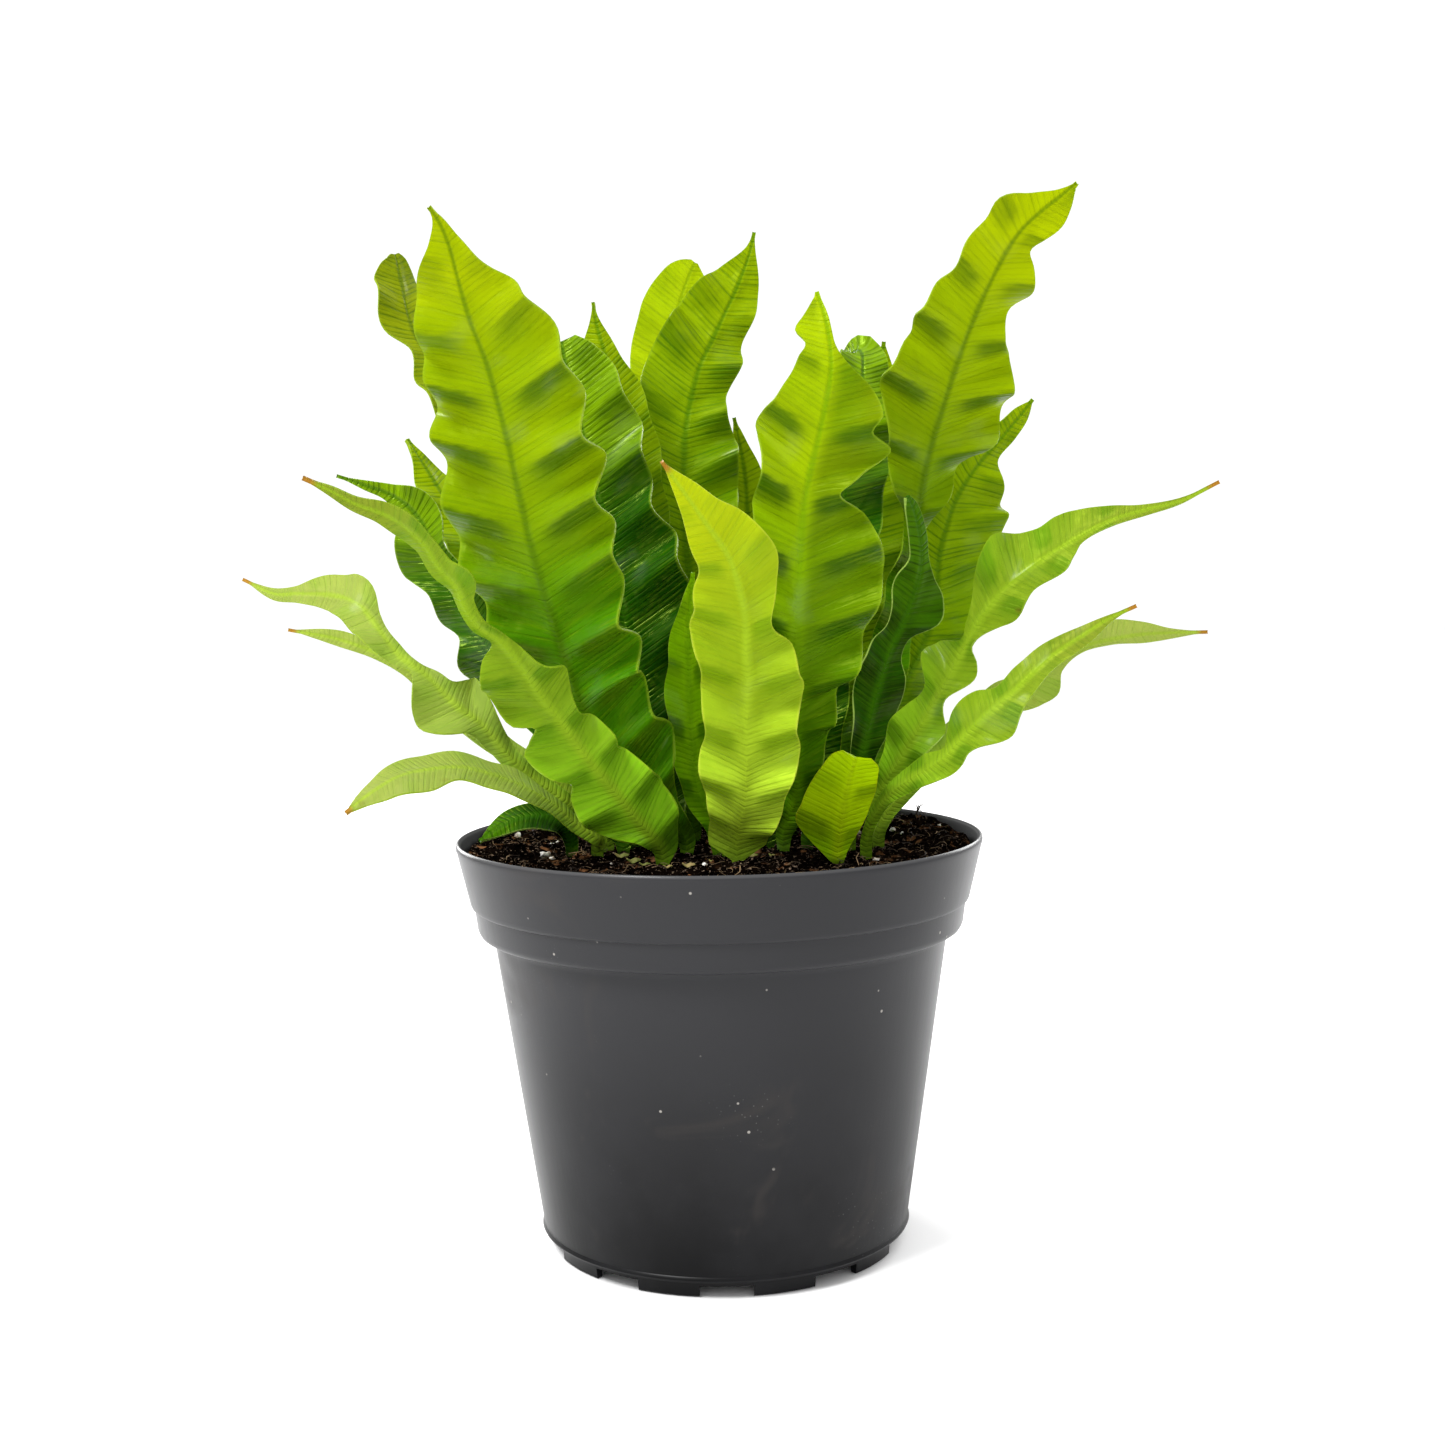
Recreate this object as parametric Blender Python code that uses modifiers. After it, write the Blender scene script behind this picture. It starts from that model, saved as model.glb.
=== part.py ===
"""A crispy wave fern growing in its round plastic grower pot.

The pot is a thin moulded shell. Peat fills it, and every frond stands by its stalk in a hole
of the peat. Each frond is a long blade that ripples from its rib out to both margins.
Metres, +Z up. The origin is on the ground under the pot's axis, and the front is at -Y.
"""

import math

import bmesh
import bpy
import numpy as np

MM = 0.001

# Pot: radii and heights of the turned shell
RIM_RADIUS = 76 * MM
POT_HEIGHT = 118 * MM
WALL = 1.25 * MM
STEP_HEIGHT = 100 * MM
STEP_RADIUS = 72 * MM
BAND_FOOT_HEIGHT = 91.5 * MM
BAND_FOOT_RADIUS = 70 * MM
BODY_TOP_RADIUS = 65.9 * MM
BODY_FOOT_RADIUS = 53.3 * MM
RIDGE_HEIGHT = 5.4 * MM
RIDGE_STANDS_OUT = 0.6 * MM
FOOT_RADIUS = 51.3 * MM
FOOT_WALL = 2.2 * MM
FLOOR_UNDERSIDE = 3.6 * MM
FLOOR_TOP = 5.2 * MM
POT_STEPS = 40

# Feet and drainage
FEET = 10
FOOT_GAP_WIDTH = 14.5 * MM
FOOT_GAP_HEIGHT = 3 * MM
DRAIN_HOLES = 5
DRAIN_RADIUS = 4 * MM
DRAIN_RING_RADIUS = 36 * MM

# Soil
CLEARANCE = 0.3 * MM
SOIL_EDGE_HEIGHT = 112.5 * MM
MOUND_HEIGHT = 3.5 * MM
MOUND_RADIUS = 45 * MM
SOIL_ROUGHNESS = 0.6 * MM
SOIL_STEPS = 36
HOLE_RADIUS = 2.5 * MM
HOLE_DEPTH = 14 * MM
HOLE_SIDES = 6

# Frond: stalk, blade thickness and ripples
STALK_HALF_WIDTH = 1.6 * MM
STALK_THICKNESS = 1.9 * MM
RIB_THICKNESS = 1.3 * MM
BLADE_THICKNESS = 0.95 * MM
STALK_EDGE_SHARE = 0.8
STALK_FADE = 0.2
STALK_EDGE_FADE = 0.08
TIP_THINNING = 0.4 * MM
STALK_STRAIGHT = 3 * MM
TIP_HALF_WIDTH = 0.5 * MM
RIPPLE_AT_BASE = 12 * MM
RIPPLE_AT_MIDDLE = 17 * MM
RIPPLE_RISE = math.radians(14)
RIPPLE_LAG = math.tan(math.radians(12))
FULL_WIDTH = 14 * MM
RIPPLE_SETTLES = 40 * MM
RIGHT_MARGIN_LEAD = 0.6
SCALLOP_LEAD = 0.9
PLAIN_SCALLOP = 0.07
ROWS_PER_RIPPLE = 4
ROWS_PER_RIPPLE_BEHIND = 3
CURVE_STEPS = 16

# The eye that the front fronds are placed from: a frond's rib points are places in a square
# picture of 1445 pixels a side, each with its depth Y in millimetres. The eye looks along +Y.
EYE = np.array([1.6, -517.0, 191.0]) * MM
EYE_PITCH = math.radians(4.5)
EYE_ROLL = math.radians(1.05)
FOCAL_PIXELS = 1790.0
PICTURE_CENTRE = 722.5

# Half widths along a blade, at even steps from the soil to the tip, as shares of the widest
PLAIN_SHAPE = (0.26, 0.48, 0.7, 0.9, 1.0, 0.92, 0.62, 0.0)
SLIM_SHAPE = (0.3, 0.5, 0.75, 0.95, 1.0, 0.85, 0.5, 0.0)

# Each frond stands at base (x, y) in mm. rib holds (pixel x, pixel y, depth in mm) from the
# soil to the tip. Where a blade has lobes, each rib point holds its half widths too, left and
# right, in mm, seen from the front with the tip up. Otherwise left and right hold them at even
# steps, or width holds the widest one of a common shape. turn is the blade's twist in degrees
# and ripple the height of its waves in mm, at even steps or one for the whole blade.
FRONDS = {
    "frond_tall_left": dict(
        base=(-9, -22),
        rib=((660, 812, -28, 4, 7), (640, 789, -30.5, 9, 14), (622, 765, -33, 12, 17.5),
             (597, 730, -37.5, 14.5, 17), (580, 700, -41, 16, 20.5), (566, 660, -45.5, 17, 19),
             (553, 618, -50, 18, 19.8), (541, 580, -53.5, 19.5, 22.6), (530, 538, -57, 20.8, 21),
             (519, 490, -61, 19.4, 22.6), (508, 440, -65.5, 18.7, 21),
             (498, 400, -68.5, 16.7, 20.8), (487, 362, -72, 16.2, 18.7), (470, 318, -76, 13.1, 15.1),
             (459, 280, -79, 10.2, 8), (449, 244, -82, 4.8, 2.9), (438, 219, -84, 1.3, 0.9),
             (429, 207, -85, 0, 0)),
        turn=(0, -15, -22, -22, -22, -22, -20, -10),
        ripple=(3, 4, 4.5, 4.5, 4.5, 4, 2.5, 0.5), scallop=0.02),
    "frond_curved_low_left": dict(
        base=(-15.5, -32),
        rib=((651, 836, -35.5, 4, 10), (637, 820, -38.5, 10, 12), (617, 795, -43, 12, 11),
             (597, 771, -47.5, 7.5, 8.5),
             (586, 757, -50, 11, 9.4), (576, 743, -52, 13, 8), (565, 729, -54.5, 9.5, 5.8),
             (556, 716, -56.5, 6, 6.2), (548, 706, -58, 10.5, 8.2), (538, 692, -60.5, 12, 9),
             (526, 674, -64, 11.5, 5), (512, 655, -67, 8, 2.8), (499, 640, -69, 2, 2),
             (478, 626, -72, 1.8, 2.4), (464, 605, -75, 1.8, 2.8), (457, 587, -77, 2.2, 5.4),
             (440, 568, -79, 2.8, 3.4), (425, 545, -82, 3, 2.6), (405, 526, -85, 3.2, 3.4),
             (385, 514, -87, 2.8, 2.8), (355, 503, -89, 2, 1.6), (330, 490, -91, 1.2, 1),
             (303, 478, -92, 0, 0)),
        turn=(0, 0, 0, -10, -20, -25, -20, -10),
        ripple=(4.5, 4.5, 4.5, 4.5, 3.5, 3, 2, 0), scallop=0.0),
    "frond_yellow_new": dict(
        base=(5, -33),
        rib=((745, 805, -42), (747, 740, -49), (747, 660, -57), (743, 605, -62), (730, 560, -67),
             (700, 515, -73), (662, 462, -80)),
        left=(7, 8.6, 10.6, 12.6, 11.5, 11.5, 12, 13, 14, 12, 9, 7, 4.5, 2, 0),
        right=(7, 8.8, 10, 12.5, 14, 13, 14.5, 12, 7, 9, 12, 9, 6, 3, 0),
        ripple=(1.5, 2.6, 3.2, 3.2, 2.6, 1.8, 1, 0.4), scallop=0.04),
    "frond_small_behind_yellow": dict(
        base=(0, -20),
        rib=((698, 790, -22), (692, 740, -24), (689, 680, -26), (689, 620, -28), (693, 573, -30)),
        width=6.5, shape=SLIM_SHAPE,
        ripple=2.5),
    "frond_round_right": dict(
        base=(18, -20),
        rib=((797, 792, -24, 4, 5), (795, 755, -29, 7, 9), (793, 725, -35, 9, 11.5),
             (793, 703, -40, 9.5, 13), (794, 672, -45, 10, 17.5), (796, 630, -50.5, 10, 20),
             (798, 590, -55, 10, 22.5), (800, 555, -57.5, 11, 20), (802, 524, -60, 12.5, 15),
             (805, 496, -61.5, 12.4, 8.4), (809, 476, -63, 13, 13), (814, 455, -64, 15.6, 19.5),
             (819, 434, -65, 14.8, 13), (823, 416, -66, 12.6, 14.4), (828, 390, -67, 9.8, 10.6),
             (831, 366, -67, 8.2, 4), (830, 347, -66, 6, 1.4), (828, 333, -65, 8, 1),
             (825, 318, -64, 5.6, 0.9), (821, 305, -63, 2.8, 0.6), (817, 293, -62, 0, 0)),
        turn=(0, 8, 8, 8),
        ripple=(3, 4.5, 4.5, 4.5, 4, 2, 0), scallop=0.0),
    "frond_young_folded": dict(
        base=(32.5, -30),
        rib=((839, 835, -31.5, 12, 5), (842, 815, -33.5, 11.5, 7), (845, 797, -35.5, 10, 7.8),
             (849, 780, -37.5, 8.4, 7.4), (853, 766, -39.5, 6.6, 6.6), (856, 758, -40.5, 4, 4)),
        turn=(5, 10, 10, 10),
        ripple=0.8, scallop=0.0),
    "frond_tall_right": dict(
        base=(29, -1),
        rib=((862, 780, -1, 3, 3), (880, 700, -2, 6, 6), (903, 590, -8, 5, 5),
             (912, 545, -14, 3, 3), (917, 515, -19, 4, 5.5), (921, 492, -23, 8.6, 9.4),
             (925, 470, -27, 10.4, 10.4), (931, 444, -32, 13, 16.5),
             (940, 415, -37, 17, 17.4), (948, 389, -41.5, 19, 16.4), (957, 362, -46, 13.5, 14),
             (966, 337, -49.5, 15.4, 9.6), (976, 312, -53.5, 12.4, 8.4), (986, 290, -57, 10, 11.2),
             (997, 268, -60, 10.4, 9.4), (1010, 245, -63.5, 8.6, 5.2), (1022, 229, -65.5, 9.4, 6),
             (1040, 212, -67.5, 5, 6.4), (1058, 198, -70, 2, 4), (1077, 183, -72, 0, 0)),
        turn=(0, 10, 20, 20, 20, 20, 15, 0),
        ripple=(3, 4, 4, 4, 4, 3, 1), scallop=0.0),
    "frond_behind_tall_right": dict(
        base=(27, 9),
        rib=((872, 760, 10, 3, 3), (905, 680, 11, 6, 9), (920, 650, 11.5, 8, 13.5),
             (935, 600, 12, 9, 15.5), (938, 560, 12.5, 10, 18.5), (945, 530, 13, 10.5, 18),
             (955, 500, 14, 10.5, 15.8), (970, 475, 15, 9, 11.5), (986, 454, 16, 6, 4.5),
             (1005, 433, 17, 3.6, 3.4), (1020, 415, 18, 2.4, 2.6), (1032, 400, 19, 0, 0)),
        turn=(0, 10, 15, 20, 20, 20, 20, 10),
        ripple=(2, 3, 3, 3, 2.5, 1), scallop=0.0),
    "frond_dark_cup_right": dict(
        base=(25, -13),
        rib=((858, 780, -15, 2.5, 3), (864, 745, -15.5, 4, 5), (872, 710, -16, 6, 8),
             (880, 680, -16.5, 7, 7), (888, 655, -17, 6, 4), (897, 635, -17.5, 4, 4),
             (905, 618, -18, 5, 9.6), (912, 600, -19, 6.5, 9), (918, 580, -21, 6, 4.5),
             (921, 560, -24, 3.6, 2.2), (920, 540, -27, 3.2, 2.2), (916, 520, -29.5, 2.8, 2),
             (911, 505, -31, 2, 1.6), (907, 497, -32, 0.6, 0.6)),
        turn=(0, 10, 20, 20, 20, 30),
        ripple=(3, 3.6, 3.6, 3, 1.5, 1), scallop=0.0),
    "frond_arching_right": dict(
        base=(37, -14),
        rib=((880, 790, -18, 2, 2), (893, 772, -22, 5, 3), (908, 748, -26, 8, 5.2),
             (922, 725, -29.5, 7, 6), (938, 698, -31.5, 4.8, 2.2), (950, 676, -33, 10, 6),
             (959, 659, -33.2, 8, 4.8), (966, 645, -33.5, 2, 1.8), (976, 626, -34, 3.4, 4.2),
             (990, 606, -35, 8.4, 8), (1004, 590, -35.5, 11.5, 7.4), (1020, 576, -36, 12.8, 5.2),
             (1048, 556, -37, 8, 6.4), (1064, 546, -37.5, 8, 4), (1078, 538, -38, 7.8, 1.6),
             (1110, 521, -40, 4, 1.5), (1145, 510, -41, 1.4, 1.5), (1180, 501, -43, 0.8, 0.8),
             (1219, 482, -45, 0, 0)),
        turn=(0, -5, -15, -20, -20, -20, -10, 0),
        ripple=(4, 4.5, 5, 5, 4, 3, 1.5, 0), scallop=0.0),
    "frond_low_right": dict(
        base=(41, -22),
        rib=((882, 804, -30, 1.8, 1.8), (905, 783, -39, 3.2, 3), (930, 768, -46, 3.8, 4.2),
             (948, 755, -50, 2.4, 4.6), (957, 745, -51.5, 5, 4.2), (967, 734, -53, 7, 5.6),
             (985, 717, -56, 7.4, 8.2), (1003, 701, -57.5, 4, 6.2), (1025, 681, -59, 4.6, 3.6),
             (1045, 662, -60, 4.2, 3), (1065, 647, -61, 3.2, 3), (1088, 632, -62, 2, 2.3),
             (1110, 618, -62.5, 0.8, 1), (1136, 606, -63, 0, 0)),
        turn=(0, -10, -15, -20, -20, -20, -10, 0),
        ripple=(2, 3, 4, 4, 3, 2, 1, 0), scallop=0.0),
    "frond_behind_low_right": dict(
        base=(46, -4),
        rib=((915, 780, -5, 3, 3), (950, 745, -5, 5, 5), (985, 718, -5, 6, 6),
             (1005, 702, -5, 6, 5), (1022, 690, -4.5, 5, 6.4), (1036, 679, -4, 5, 7.6),
             (1054, 664, -4, 4.6, 3), (1080, 648, -4, 3, 1.4), (1110, 640, -5, 5.6, 1.4),
             (1140, 635, -6.5, 3.8, 2.4), (1170, 633, -8, 1.3, 1.6), (1207, 632, -9, 0, 0)),
        turn=(0, -10, -15, -15, -15, -15, -10, 0),
        ripple=(3, 4, 4, 3.5, 2, 1, 0), scallop=0.0),
    "frond_striped_right": dict(
        base=(19, 4),
        rib=((838, 760, 4), (845, 680, 4), (855, 600, 4), (866, 520, 3), (875, 440, 2),
             (884, 342, 1)),
        width=13,
        ripple=3.0),
    "frond_curled_behind_round": dict(
        base=(14, -8),
        rib=((812, 760, -8), (820, 660, -11), (832, 560, -15), (848, 460, -17), (862, 385, -16),
             (860, 352, -10), (848, 358, -3)),
        width=12, shape=(0.3, 0.5, 0.7, 0.9, 1.0, 1.0, 0.8, 0.2),
        turn=(0, 10, 15, 15),
        ripple=3.0),
    "frond_slim_centre_back": dict(
        base=(9, 20),
        rib=((742, 760, 26), (746, 680, 29), (747, 600, 31), (748, 520, 33), (742, 455, 34),
             (734, 418, 34)),
        width=8,
        ripple=2.0),
    "frond_striped_centre": dict(
        base=(2, 3),
        rib=((722, 800, 4, 3, 3), (705, 700, 6, 8, 8), (694, 620, 8, 10, 11),
             (686, 540, 9, 12, 15), (684, 492, 10, 13, 16), (684, 452, 11.5, 14, 15.4),
             (687, 420, 13, 15, 11.6), (692, 394, 14, 15.5, 10), (702, 361, 15.5, 14.5, 11.4),
             (714, 336, 17, 13.4, 8.4), (726, 311, 18.5, 11.6, 8.4), (739, 282, 20, 7, 5.8),
             (750, 252, 21.5, 1.8, 1.6), (754, 233, 22, 0, 0)),
        ripple=(3, 3.4, 3.4, 3.4, 3, 1.5), scallop=0.0),
    "frond_light_back": dict(
        base=(-4, 27),
        rib=((700, 700, 42, 3, 3), (688, 560, 50, 8, 8), (672, 440, 55, 11, 11),
             (668, 385, 57, 12, 12), (672, 338, 58.5, 12, 12), (680, 303, 59.5, 10.4, 9.5),
             (687, 281, 60, 7.6, 6.2), (692, 269, 60, 4.4, 3), (695, 263, 60, 1.5, 0.8)),
        ripple=(3, 3, 3, 2.5, 1), scallop=0.02),
    "frond_narrow_centre": dict(
        base=(-7, -4),
        rib=((690, 780, -5, 3, 3), (672, 680, -5, 5, 5), (658, 580, -4, 6, 6),
             (645, 500, -3, 6.5, 6), (634, 440, -2, 6.5, 6.6), (620, 392, -1.5, 6, 5.8),
             (604, 350, -1, 5.5, 3.2), (596, 322, -0.5, 1.8, 1.2), (593, 303, 0, 0, 0)),
        ripple=2.2),
    "frond_dark_behind_tall_left": dict(
        base=(-13, -13),
        rib=((668, 790, -13, 4, 6), (650, 720, -14, 9, 14), (634, 650, -15, 11, 18),
             (618, 585, -17, 10, 19.5), (603, 520, -19, 9, 15), (594, 480, -20.5, 8, 16),
             (583, 430, -22, 8, 15), (572, 385, -23, 7, 12), (565, 358, -22.5, 5, 8.5),
             (562, 342, -22, 2, 4)),
        turn=(0, -10, -15, -15, -15),
        ripple=(4, 4, 4, 3.5, 3, 1.5), scallop=0.03),
    "frond_left_behind_tall": dict(
        base=(-18, 11),
        rib=((640, 780, 16), (580, 690, 22), (520, 610, 27), (470, 540, 31), (432, 480, 34),
             (407, 440, 36)),
        width=11,
        turn=(0, 20, 35, 35, 35),
        ripple=3.0),
    "frond_olive_back_left": dict(
        base=(-12, 21),
        rib=((640, 720, 34, 3, 3), (570, 590, 44, 8, 8), (490, 450, 54, 10, 10),
             (440, 375, 58, 8, 10), (422, 350, 60, 4, 10), (413, 333, 61, 8.5, 9),
             (408, 318, 62, 10, 8.5), (404, 302, 62.5, 9.8, 8), (401, 287, 63, 8.8, 6.8),
             (398, 273, 63.5, 6.6, 5.2), (396, 262, 64, 4, 3.4), (394, 255, 64, 1.5, 1.5)),
        turn=(0, 20, 35, 35, 35),
        ripple=2.5, scallop=0.02),
    "frond_lobed_left": dict(
        base=(-24, -9),
        rib=((632, 810, -9, 2, 2), (580, 757, -7, 4, 5), (530, 702, -6, 7, 8),
             (508, 675, -6, 8, 9), (494, 657, -5, 10.5, 10), (478, 634, -5, 5.6, 10),
             (468, 617, -5, 8.5, 9), (452, 590, -5, 6.6, 7), (443, 571, -5, 11.6, 5),
             (434, 552, -5, 11, 4), (424, 526, -5.5, 8, 6), (411, 508, -6.5, 4.6, 6),
             (390, 494, -7.5, 2.2, 2.8), (365, 485, -9, 1.3, 1.3), (337, 476, -10, 0, 0)),
        turn=(0, 0, -10, -15, -20, -20, -15, 0),
        ripple=(3, 4, 4.5, 4.5, 4, 3, 1.5, 0), scallop=0.0),
    "frond_arching_left": dict(
        base=(-32, -4),
        rib=((590, 815, -8, 2, 2), (565, 800, -11, 2.4, 2.4), (540, 783, -13, 2.6, 2.6),
             (512, 760, -16, 3, 3), (495, 740, -18, 3.4, 4), (480, 724, -19, 5, 6),
             (462, 710, -20, 10.5, 11), (446, 696, -20, 10, 4.5), (430, 680, -20, 6, 3),
             (415, 667, -20, 1.6, 1.6), (398, 655, -18, 3.4, 2.4), (384, 638, -17, 6, 2.2),
             (372, 620, -14, 6.3, 3), (356, 604, -11, 6.2, 7.4), (334, 596, -7, 4.4, 6.6),
             (300, 594, -3, 2.6, 2.5), (275, 594, 2, 1.8, 1.6), (244, 580, 6, 0, 0)),
        turn=(0, 0, 10, 15, 15, 15, 10, 0),
        ripple=(2, 2.5, 4, 5, 4, 3.5, 1.5, 0), scallop=0.0),
    "frond_thin_left": dict(
        base=(-29, 4),
        rib=((590, 810, 8, 2, 2), (530, 765, 12, 3, 3), (480, 730, 15, 4.4, 4.4),
             (440, 694, 17, 4, 4.4), (412, 672, 19, 2.4, 2.4), (378, 654, 21, 1.8, 2.4),
             (340, 640, 22, 2, 2.8), (289, 630, 23, 0, 0)),
        turn=(0, 15, 20, 20, 15, 0),
        ripple=(2, 3, 3, 1.5, 0.5, 0), scallop=0.0),
    "frond_low_left": dict(
        base=(-34, -21),
        rib=((600, 842, -26, 2, 2), (575, 824, -30, 2.4, 2.4), (550, 803, -34, 3, 3),
             (520, 786, -38, 5, 5.2), (490, 775, -42, 4.8, 5.8), (460, 769, -46, 4.8, 6.4),
             (430, 771, -50, 7.2, 6.8), (400, 778, -54, 7, 5.4), (375, 792, -57, 3.4, 3.4),
             (346, 813, -60, 0, 0)),
        turn=(0, 20, 40, 50, 50, 50, 45, 20),
        ripple=1.2, scallop=0.0),
    "frond_small_olive_left": dict(
        base=(-42, -11),
        rib=((562, 823, -15), (540, 816, -19), (515, 820, -22), (480, 841, -27)),
        width=4.6, shape=SLIM_SHAPE,
        turn=(0, 30, 40, 20),
        ripple=0.4, scallop=0.02),
    "frond_small_dark_left": dict(
        base=(-27, -15),
        rib=((607, 820, -16), (592, 804, -17), (575, 792, -18)),
        width=5, shape=SLIM_SHAPE,
        ripple=1.2),
}

# Leaf tones: young and sunlit fronds are yellow-green, grown ones green, shaded inner ones dark
LEAF_TONES = {
    "frond_bright": (0.38, 0.55, 0.03),
    "frond_green": (0.22, 0.42, 0.03),
    "frond_dark": (0.06, 0.2, 0.015),
}
BRIGHT_FRONDS = (
    "frond_tall_left", "frond_yellow_new", "frond_small_behind_yellow", "frond_young_folded",
    "frond_tall_right", "frond_low_left", "frond_light_back")
DARK_FRONDS = (
    "frond_dark_behind_tall_left", "frond_dark_cup_right", "frond_lobed_left",
    "frond_small_dark_left", "frond_striped_right", "frond_slim_centre_back",
    "frond_back_inner_right", "frond_back_inner_left")
LEAF_ROUGHNESS = 0.42

# The fronds of the far side. Each leaves its base at lean_from degrees off the upright, leans
# over to lean_to at its tip, and points to its own compass angle (0 is +X, 90 is straight back).
BACK_FRONDS = {
    "frond_back_right_low": dict(
        base=(39, 14), angle=38, length=72, lean_from=24, lean_to=60, width=9, ripple=2.6),
    "frond_back_right": dict(
        base=(31, 21), angle=46, length=100, lean_from=20, lean_to=54, width=12, ripple=3.0),
    "frond_back_centre_right": dict(
        base=(18, 32), angle=79, length=97, lean_from=16, lean_to=58, width=13, ripple=3.2),
    "frond_back_centre": dict(
        base=(4, 35), angle=92, length=85, lean_from=22, lean_to=70, width=12, ripple=3.0),
    "frond_back_centre_left": dict(
        base=(-10, 33), angle=110, length=97, lean_from=16, lean_to=58, width=13, ripple=3.2),
    "frond_back_left": dict(
        base=(-22, 26), angle=136, length=100, lean_from=20, lean_to=56, width=12, ripple=3.0),
    "frond_back_left_low": dict(
        base=(-32, 20), angle=152, length=74, lean_from=24, lean_to=58, width=9, ripple=2.4),
    "frond_back_inner_right": dict(
        base=(22, 14), angle=48, length=112, lean_from=8, lean_to=30, width=11, ripple=2.8),
    "frond_back_inner_left": dict(
        base=(-8, 13), angle=118, length=92, lean_from=12, lean_to=26, width=9, ripple=2.4),
}


def clear_scene():
    """Takes away whatever the file holds at the start."""
    for thing in list(bpy.data.objects):
        bpy.data.objects.remove(thing, do_unlink=True)


def new_collection(name):
    """A collection of its own in the scene."""
    made = bpy.data.collections.new(name)
    bpy.context.scene.collection.children.link(made)
    return made


def new_material(name, colour, roughness, metallic=0.0):
    """A plain Principled material."""
    material = bpy.data.materials.new(name)
    material.use_nodes = True
    shader = material.node_tree.nodes["Principled BSDF"]
    shader.inputs["Base Color"].default_value = (*colour, 1.0)
    shader.inputs["Roughness"].default_value = roughness
    shader.inputs["Metallic"].default_value = metallic
    material.diffuse_color = (*colour, 1.0)
    return material


def new_object(name, mesh, collection, material=None):
    """An object that shows the mesh."""
    made = bpy.data.objects.new(name, mesh)
    collection.objects.link(made)
    if material:
        mesh.materials.append(material)
    return made


def evaluated_mesh(thing):
    """The object's mesh with its modifiers worked out."""
    graph = bpy.context.evaluated_depsgraph_get()
    return bpy.data.meshes.new_from_object(thing.evaluated_get(graph))


def turned(name, profile, steps, collection, material=None):
    """A profile of (radius, height) points turned round the Z axis."""
    mesh = bpy.data.meshes.new(name)
    points = [(radius, 0.0, height) for radius, height in profile]
    edges = [(i, i + 1) for i in range(len(points) - 1)]
    mesh.from_pydata(points, edges, [])
    made = new_object(name, mesh, collection, material)
    screw = made.modifiers.new("Turn", "SCREW")
    screw.steps = steps
    screw.render_steps = steps
    screw.use_merge_vertices = True
    screw.merge_threshold = 0.00005
    screw.use_smooth_shade = True
    return made


def cut(thing, cutter, name):
    """Takes the cutter's shape out of the object."""
    boolean = thing.modifiers.new(name, "BOOLEAN")
    boolean.operation = "DIFFERENCE"
    boolean.object = cutter
    cutter.hide_render = True
    cutter.display_type = "WIRE"


def joined_cutter(name, bodies, collection):
    """One cutter from several separate closed bodies, each a bmesh builder."""
    mesh = bpy.data.meshes.new(name)
    shape = bmesh.new()
    for add_body in bodies:
        add_body(shape)
    shape.to_mesh(mesh)
    shape.free()
    return new_object(name, mesh, collection)


def body_radius(height):
    """Outer radius of the pot's tapered body."""
    share = (height - RIDGE_HEIGHT) / (BAND_FOOT_HEIGHT - RIDGE_HEIGHT)
    return BODY_FOOT_RADIUS + share * (BODY_TOP_RADIUS - BODY_FOOT_RADIUS)


def inner_profile():
    """The pot's inside from the floor's middle up to the lip."""
    shoulder = BAND_FOOT_HEIGHT + 2.5 * MM
    return [
        (0.0, FLOOR_TOP),
        (FOOT_RADIUS - 1.5 * MM, FLOOR_TOP),
        (body_radius(8 * MM) - WALL, 8 * MM),
        (body_radius(BAND_FOOT_HEIGHT) - WALL, BAND_FOOT_HEIGHT + 0.6 * MM),
        (BAND_FOOT_RADIUS - 0.6 * MM - WALL, shoulder),
        (STEP_RADIUS - 0.9 * MM - WALL, STEP_HEIGHT - 0.3 * MM),
        (RIM_RADIUS - 0.3 * MM - WALL, POT_HEIGHT - 1.2 * MM),
    ]


def outer_profile():
    """The pot's outside from the lip down to the foot ring's sole."""
    return [
        (RIM_RADIUS - WALL, POT_HEIGHT - 0.2 * MM),
        (RIM_RADIUS - 0.6 * MM, POT_HEIGHT),
        (RIM_RADIUS, POT_HEIGHT - 0.5 * MM),
        (RIM_RADIUS - 0.2 * MM, POT_HEIGHT - 1.6 * MM),
        (STEP_RADIUS + 0.2 * MM, STEP_HEIGHT + 0.4 * MM),
        (STEP_RADIUS - 0.8 * MM, STEP_HEIGHT - 0.3 * MM),
        (BAND_FOOT_RADIUS + 0.2 * MM, BAND_FOOT_HEIGHT + 1.6 * MM),
        (BAND_FOOT_RADIUS - 0.9 * MM, BAND_FOOT_HEIGHT + 0.3 * MM),
        (BODY_TOP_RADIUS + 0.3 * MM, BAND_FOOT_HEIGHT - 0.2 * MM),
        (body_radius(BAND_FOOT_HEIGHT - 1.5 * MM), BAND_FOOT_HEIGHT - 1.5 * MM),
        (body_radius(RIDGE_HEIGHT + 1.2 * MM), RIDGE_HEIGHT + 1.2 * MM),
        (BODY_FOOT_RADIUS + RIDGE_STANDS_OUT, RIDGE_HEIGHT + 0.3 * MM),
        (BODY_FOOT_RADIUS + RIDGE_STANDS_OUT, RIDGE_HEIGHT - 0.4 * MM),
        (FOOT_RADIUS + 0.3 * MM, RIDGE_HEIGHT - 1.4 * MM),
        (FOOT_RADIUS, 0.0),
        (FOOT_RADIUS - FOOT_WALL, 0.0),
        (FOOT_RADIUS - FOOT_WALL, FLOOR_UNDERSIDE),
        (0.0, FLOOR_UNDERSIDE),
    ]


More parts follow.
